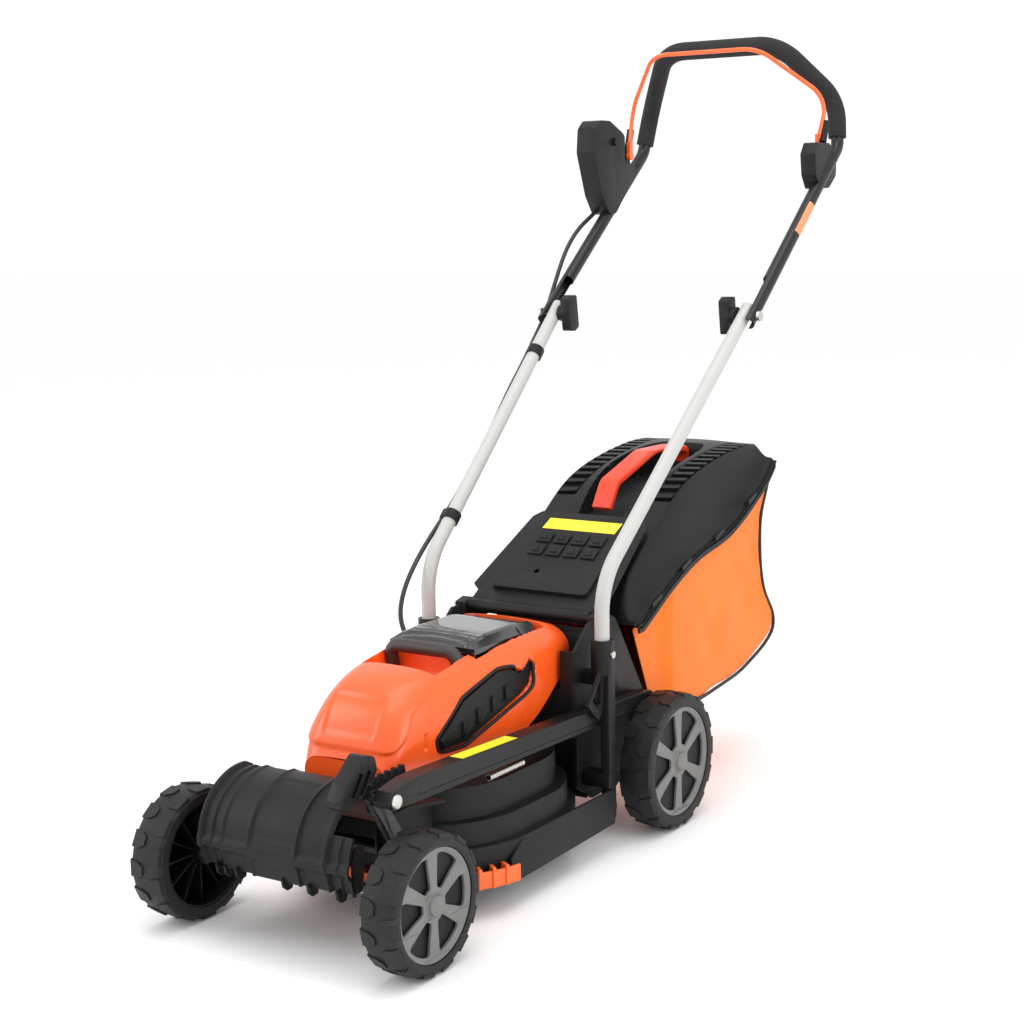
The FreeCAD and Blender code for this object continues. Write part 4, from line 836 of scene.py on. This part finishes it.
def wheel_cover(sign, outer, y, radius):
    """A flat cover cut by six flared windows, its edges eased, dished towards a domed cap."""
    rim = 0.80 * radius - 0.5
    curve = bpy.data.curves.new("cover", "CURVE")
    curve.dimensions = "2D"
    curve.fill_mode = "BOTH"
    curve.extrude = 0.0012
    curve.bevel_depth = 0.0008
    curve.bevel_resolution = 2
    loops = [[((rim - 0.8) * cos(pi * k / 48), (rim - 0.8) * sin(pi * k / 48)) for k in range(96)]]
    for n in range(6):
        middle = n * pi / 3
        r0, r1 = 0.30 * rim, rim - 5.5
        gap0, gap1 = pi / 6 - 5.6 / r0 * 0.75, pi / 6 - 8.5 / r1
        corners = [(r0, -gap0), (r0, 0), (r0, gap0), (r1 * 0.72, (gap0 + gap1 * 2) / 3), (r1, gap1), (r1, gap1 / 2),
                   (r1, 0), (r1, -gap1 / 2), (r1, -gap1), (r1 * 0.72, -(gap0 + gap1 * 2) / 3)]
        spots = [Vector((r * cos(middle + a), r * sin(middle + a))) for r, a in corners]
        for _ in range(2):
            pairs = zip(spots, spots[1:] + spots[:1])
            spots = [p for a, b in pairs for p in (a * 0.78 + b * 0.22, a * 0.22 + b * 0.78)]
        loops.append([tuple(p) for p in spots])
    for loop in loops:
        spline = curve.splines.new("POLY")
        spline.points.add(len(loop) - 1)
        for point, (u, v) in zip(spline.points, loop):
            point.co = (u / 1000, v / 1000, 0, 1)
        spline.use_cyclic_u = True
    flat = bpy.data.objects.new("cover", curve)
    bpy.context.scene.collection.objects.link(flat)
    bm = bmesh.new()
    bm.from_mesh(baked(flat, "cover"))
    bmesh.ops.remove_doubles(bm, verts=bm.verts, dist=1e-6)
    for v in bm.verts:
        r = v.co.xy.length * 1000
        dish = 3.4 * step(rim, rim - 7, r) - 1.2 * step(rim - 14, 14, r)
        v.co = at(sign * (outer - 4.2 - dish + v.co.z * 1000), y + v.co.x * 1000, radius + v.co.y * 1000)
    profile = [(outer - 8.5, 0.4), (outer - 8.5, 15), (outer - 4.5, 15), (outer - 3.2, 13.4), (outer - 3.6, 12.2),
               (outer - 0.6, 10.8), (outer + 0.6, 7), (outer + 0.9, 0.4)]
    cap = solid_ring("cap", [[(sign * x, y + r * sin(pi * k / 24), radius + r * cos(pi * k / 24)) for x, r in
                              profile + profile[:1]] for k in range(49)])
    bm.from_mesh(cap)
    bmesh.ops.recalc_face_normals(bm, faces=bm.faces)
    return mesh_of(bm, "wheel_cover_mesh")


for end in ("front", "rear"):
    for side in ("left", "right"):
        dress(f"{end}_wheel_core_{side}", BLACK)
        sign = 1 if side == "right" else -1
        radius, outer, y = (79.0, 188.0, 0.0) if end == "front" else (91.0, 182.0, 549.0)
        wheel_body = body_of[f"{end}_tyre_{side}"]
        section = [(outer - 46, radius * 0.8), (outer - 46, radius - 7), (outer - 43, radius - 3.4),
                   (outer - 38, radius - 2.2), (outer - 8, radius - 2.2), (outer - 3, radius - 3.6),
                   (outer - 0.8, radius - 7), (outer, radius * 0.86), (outer - 1, radius * 0.8)]
        rings = [[(sign * x, y + r * sin(pi * k / 48), radius + r * cos(pi * k / 48)) for x, r in
                  section + section[:1]] for k in range(97)]
        tyre = solid_ring("tyre", rings)
        tread = []
        pitch = 2 * pi / 14
        for k in range(14):
            for inner_x, outer_x, offset in ((outer - 45.4, outer - 25.5, 0.0), (outer - 20.5, outer - 0.6, 0.5)):
                turn = (k + offset) * pitch
                tread.append(lug(sign, inner_x, outer_x, y, radius, turn, pitch * 0.31, offset > 0))
        piece(f"{end}_tyre_{side}_treaded", joined("tyre_joined", tyre, *tread), TYRE, wheel_body,
              [f"{end}_tyre_{side}"], smooth=radians(24))
        piece(f"{end}_wheel_cover_{side}_spoked", wheel_cover(sign, outer, y, radius), GREY, wheel_body,
              [f"{end}_wheel_cover_{side}"], smooth=radians(38))

# ------------------------------------------------------------------ studio
# A pale floor with three soft lamps above it and even light all round,
# and the camera in front of the right wheel at a little below handle height.
floor_mesh = bpy.data.meshes.new("floor")
FLOOR_HALF = 30.0
floor_mesh.from_pydata([(-FLOOR_HALF, -FLOOR_HALF, 0), (FLOOR_HALF, -FLOOR_HALF, 0), (FLOOR_HALF, FLOOR_HALF, 0),
                        (-FLOOR_HALF, FLOOR_HALF, 0)], [], [(0, 1, 2, 3)])
floor = bpy.data.objects.new("floor", floor_mesh)
bpy.context.scene.collection.objects.link(floor)
floor_paint = bpy.data.materials.new("floor_paint")
floor_paint.use_nodes = True
floor_paint.node_tree.nodes["Principled BSDF"].inputs["Base Color"].default_value = (0.93, 0.93, 0.93, 1)
floor_paint.node_tree.nodes["Principled BSDF"].inputs["Roughness"].default_value = 0.85
floor_mesh.materials.append(floor_paint)

world = bpy.data.worlds.new("studio")
bpy.context.scene.world = world
world.use_nodes = True
world.node_tree.nodes["Background"].inputs["Color"].default_value = (1, 1, 1, 1)
world.node_tree.nodes["Background"].inputs["Strength"].default_value = 1.06


def lamp(name, place, aim, size, power):
    light = bpy.data.lights.new(name, "AREA")
    light.shape = "RECTANGLE"
    light.size, light.size_y = size
    light.energy = power
    obj = bpy.data.objects.new(name, light)
    obj.location = place
    obj.rotation_euler = (Vector(aim) - Vector(place)).to_track_quat("-Z", "Y").to_euler()
    bpy.context.scene.collection.objects.link(obj)


MIDDLE = (0, 0, 0.4)
lamp("overhead", (0.3, -0.4, 2.8), MIDDLE, (2.2, 2.2), 30)
lamp("left_bank", (-2.4, -1.9, 1.5), MIDDLE, (1.2, 2.0), 24)
lamp("right_bank", (2.6, -0.4, 1.3), MIDDLE, (1.0, 2.0), 20)

AZIMUTH, PITCH, ROLL = radians(31.2984), radians(8.9651), radians(-0.6687)
camera = bpy.data.cameras.new("camera")
camera.lens = 62.58
camera.sensor_width = 36.0
camera.shift_x = -0.09253
camera.shift_y = 0.00082
camera.clip_end = 100
eye = bpy.data.objects.new("camera", camera)
eye.location = at(1279.92, -1442.37, 782.94)
look = Vector((-sin(AZIMUTH) * cos(PITCH), cos(AZIMUTH) * cos(PITCH), -sin(PITCH)))
eye.rotation_mode = "QUATERNION"
eye.rotation_quaternion = look.to_track_quat("-Z", "Y") @ Matrix.Rotation(ROLL, 3, "Z").to_quaternion()
bpy.context.scene.collection.objects.link(eye)
bpy.context.scene.camera = eye
bpy.context.scene.view_settings.view_transform = "Standard"
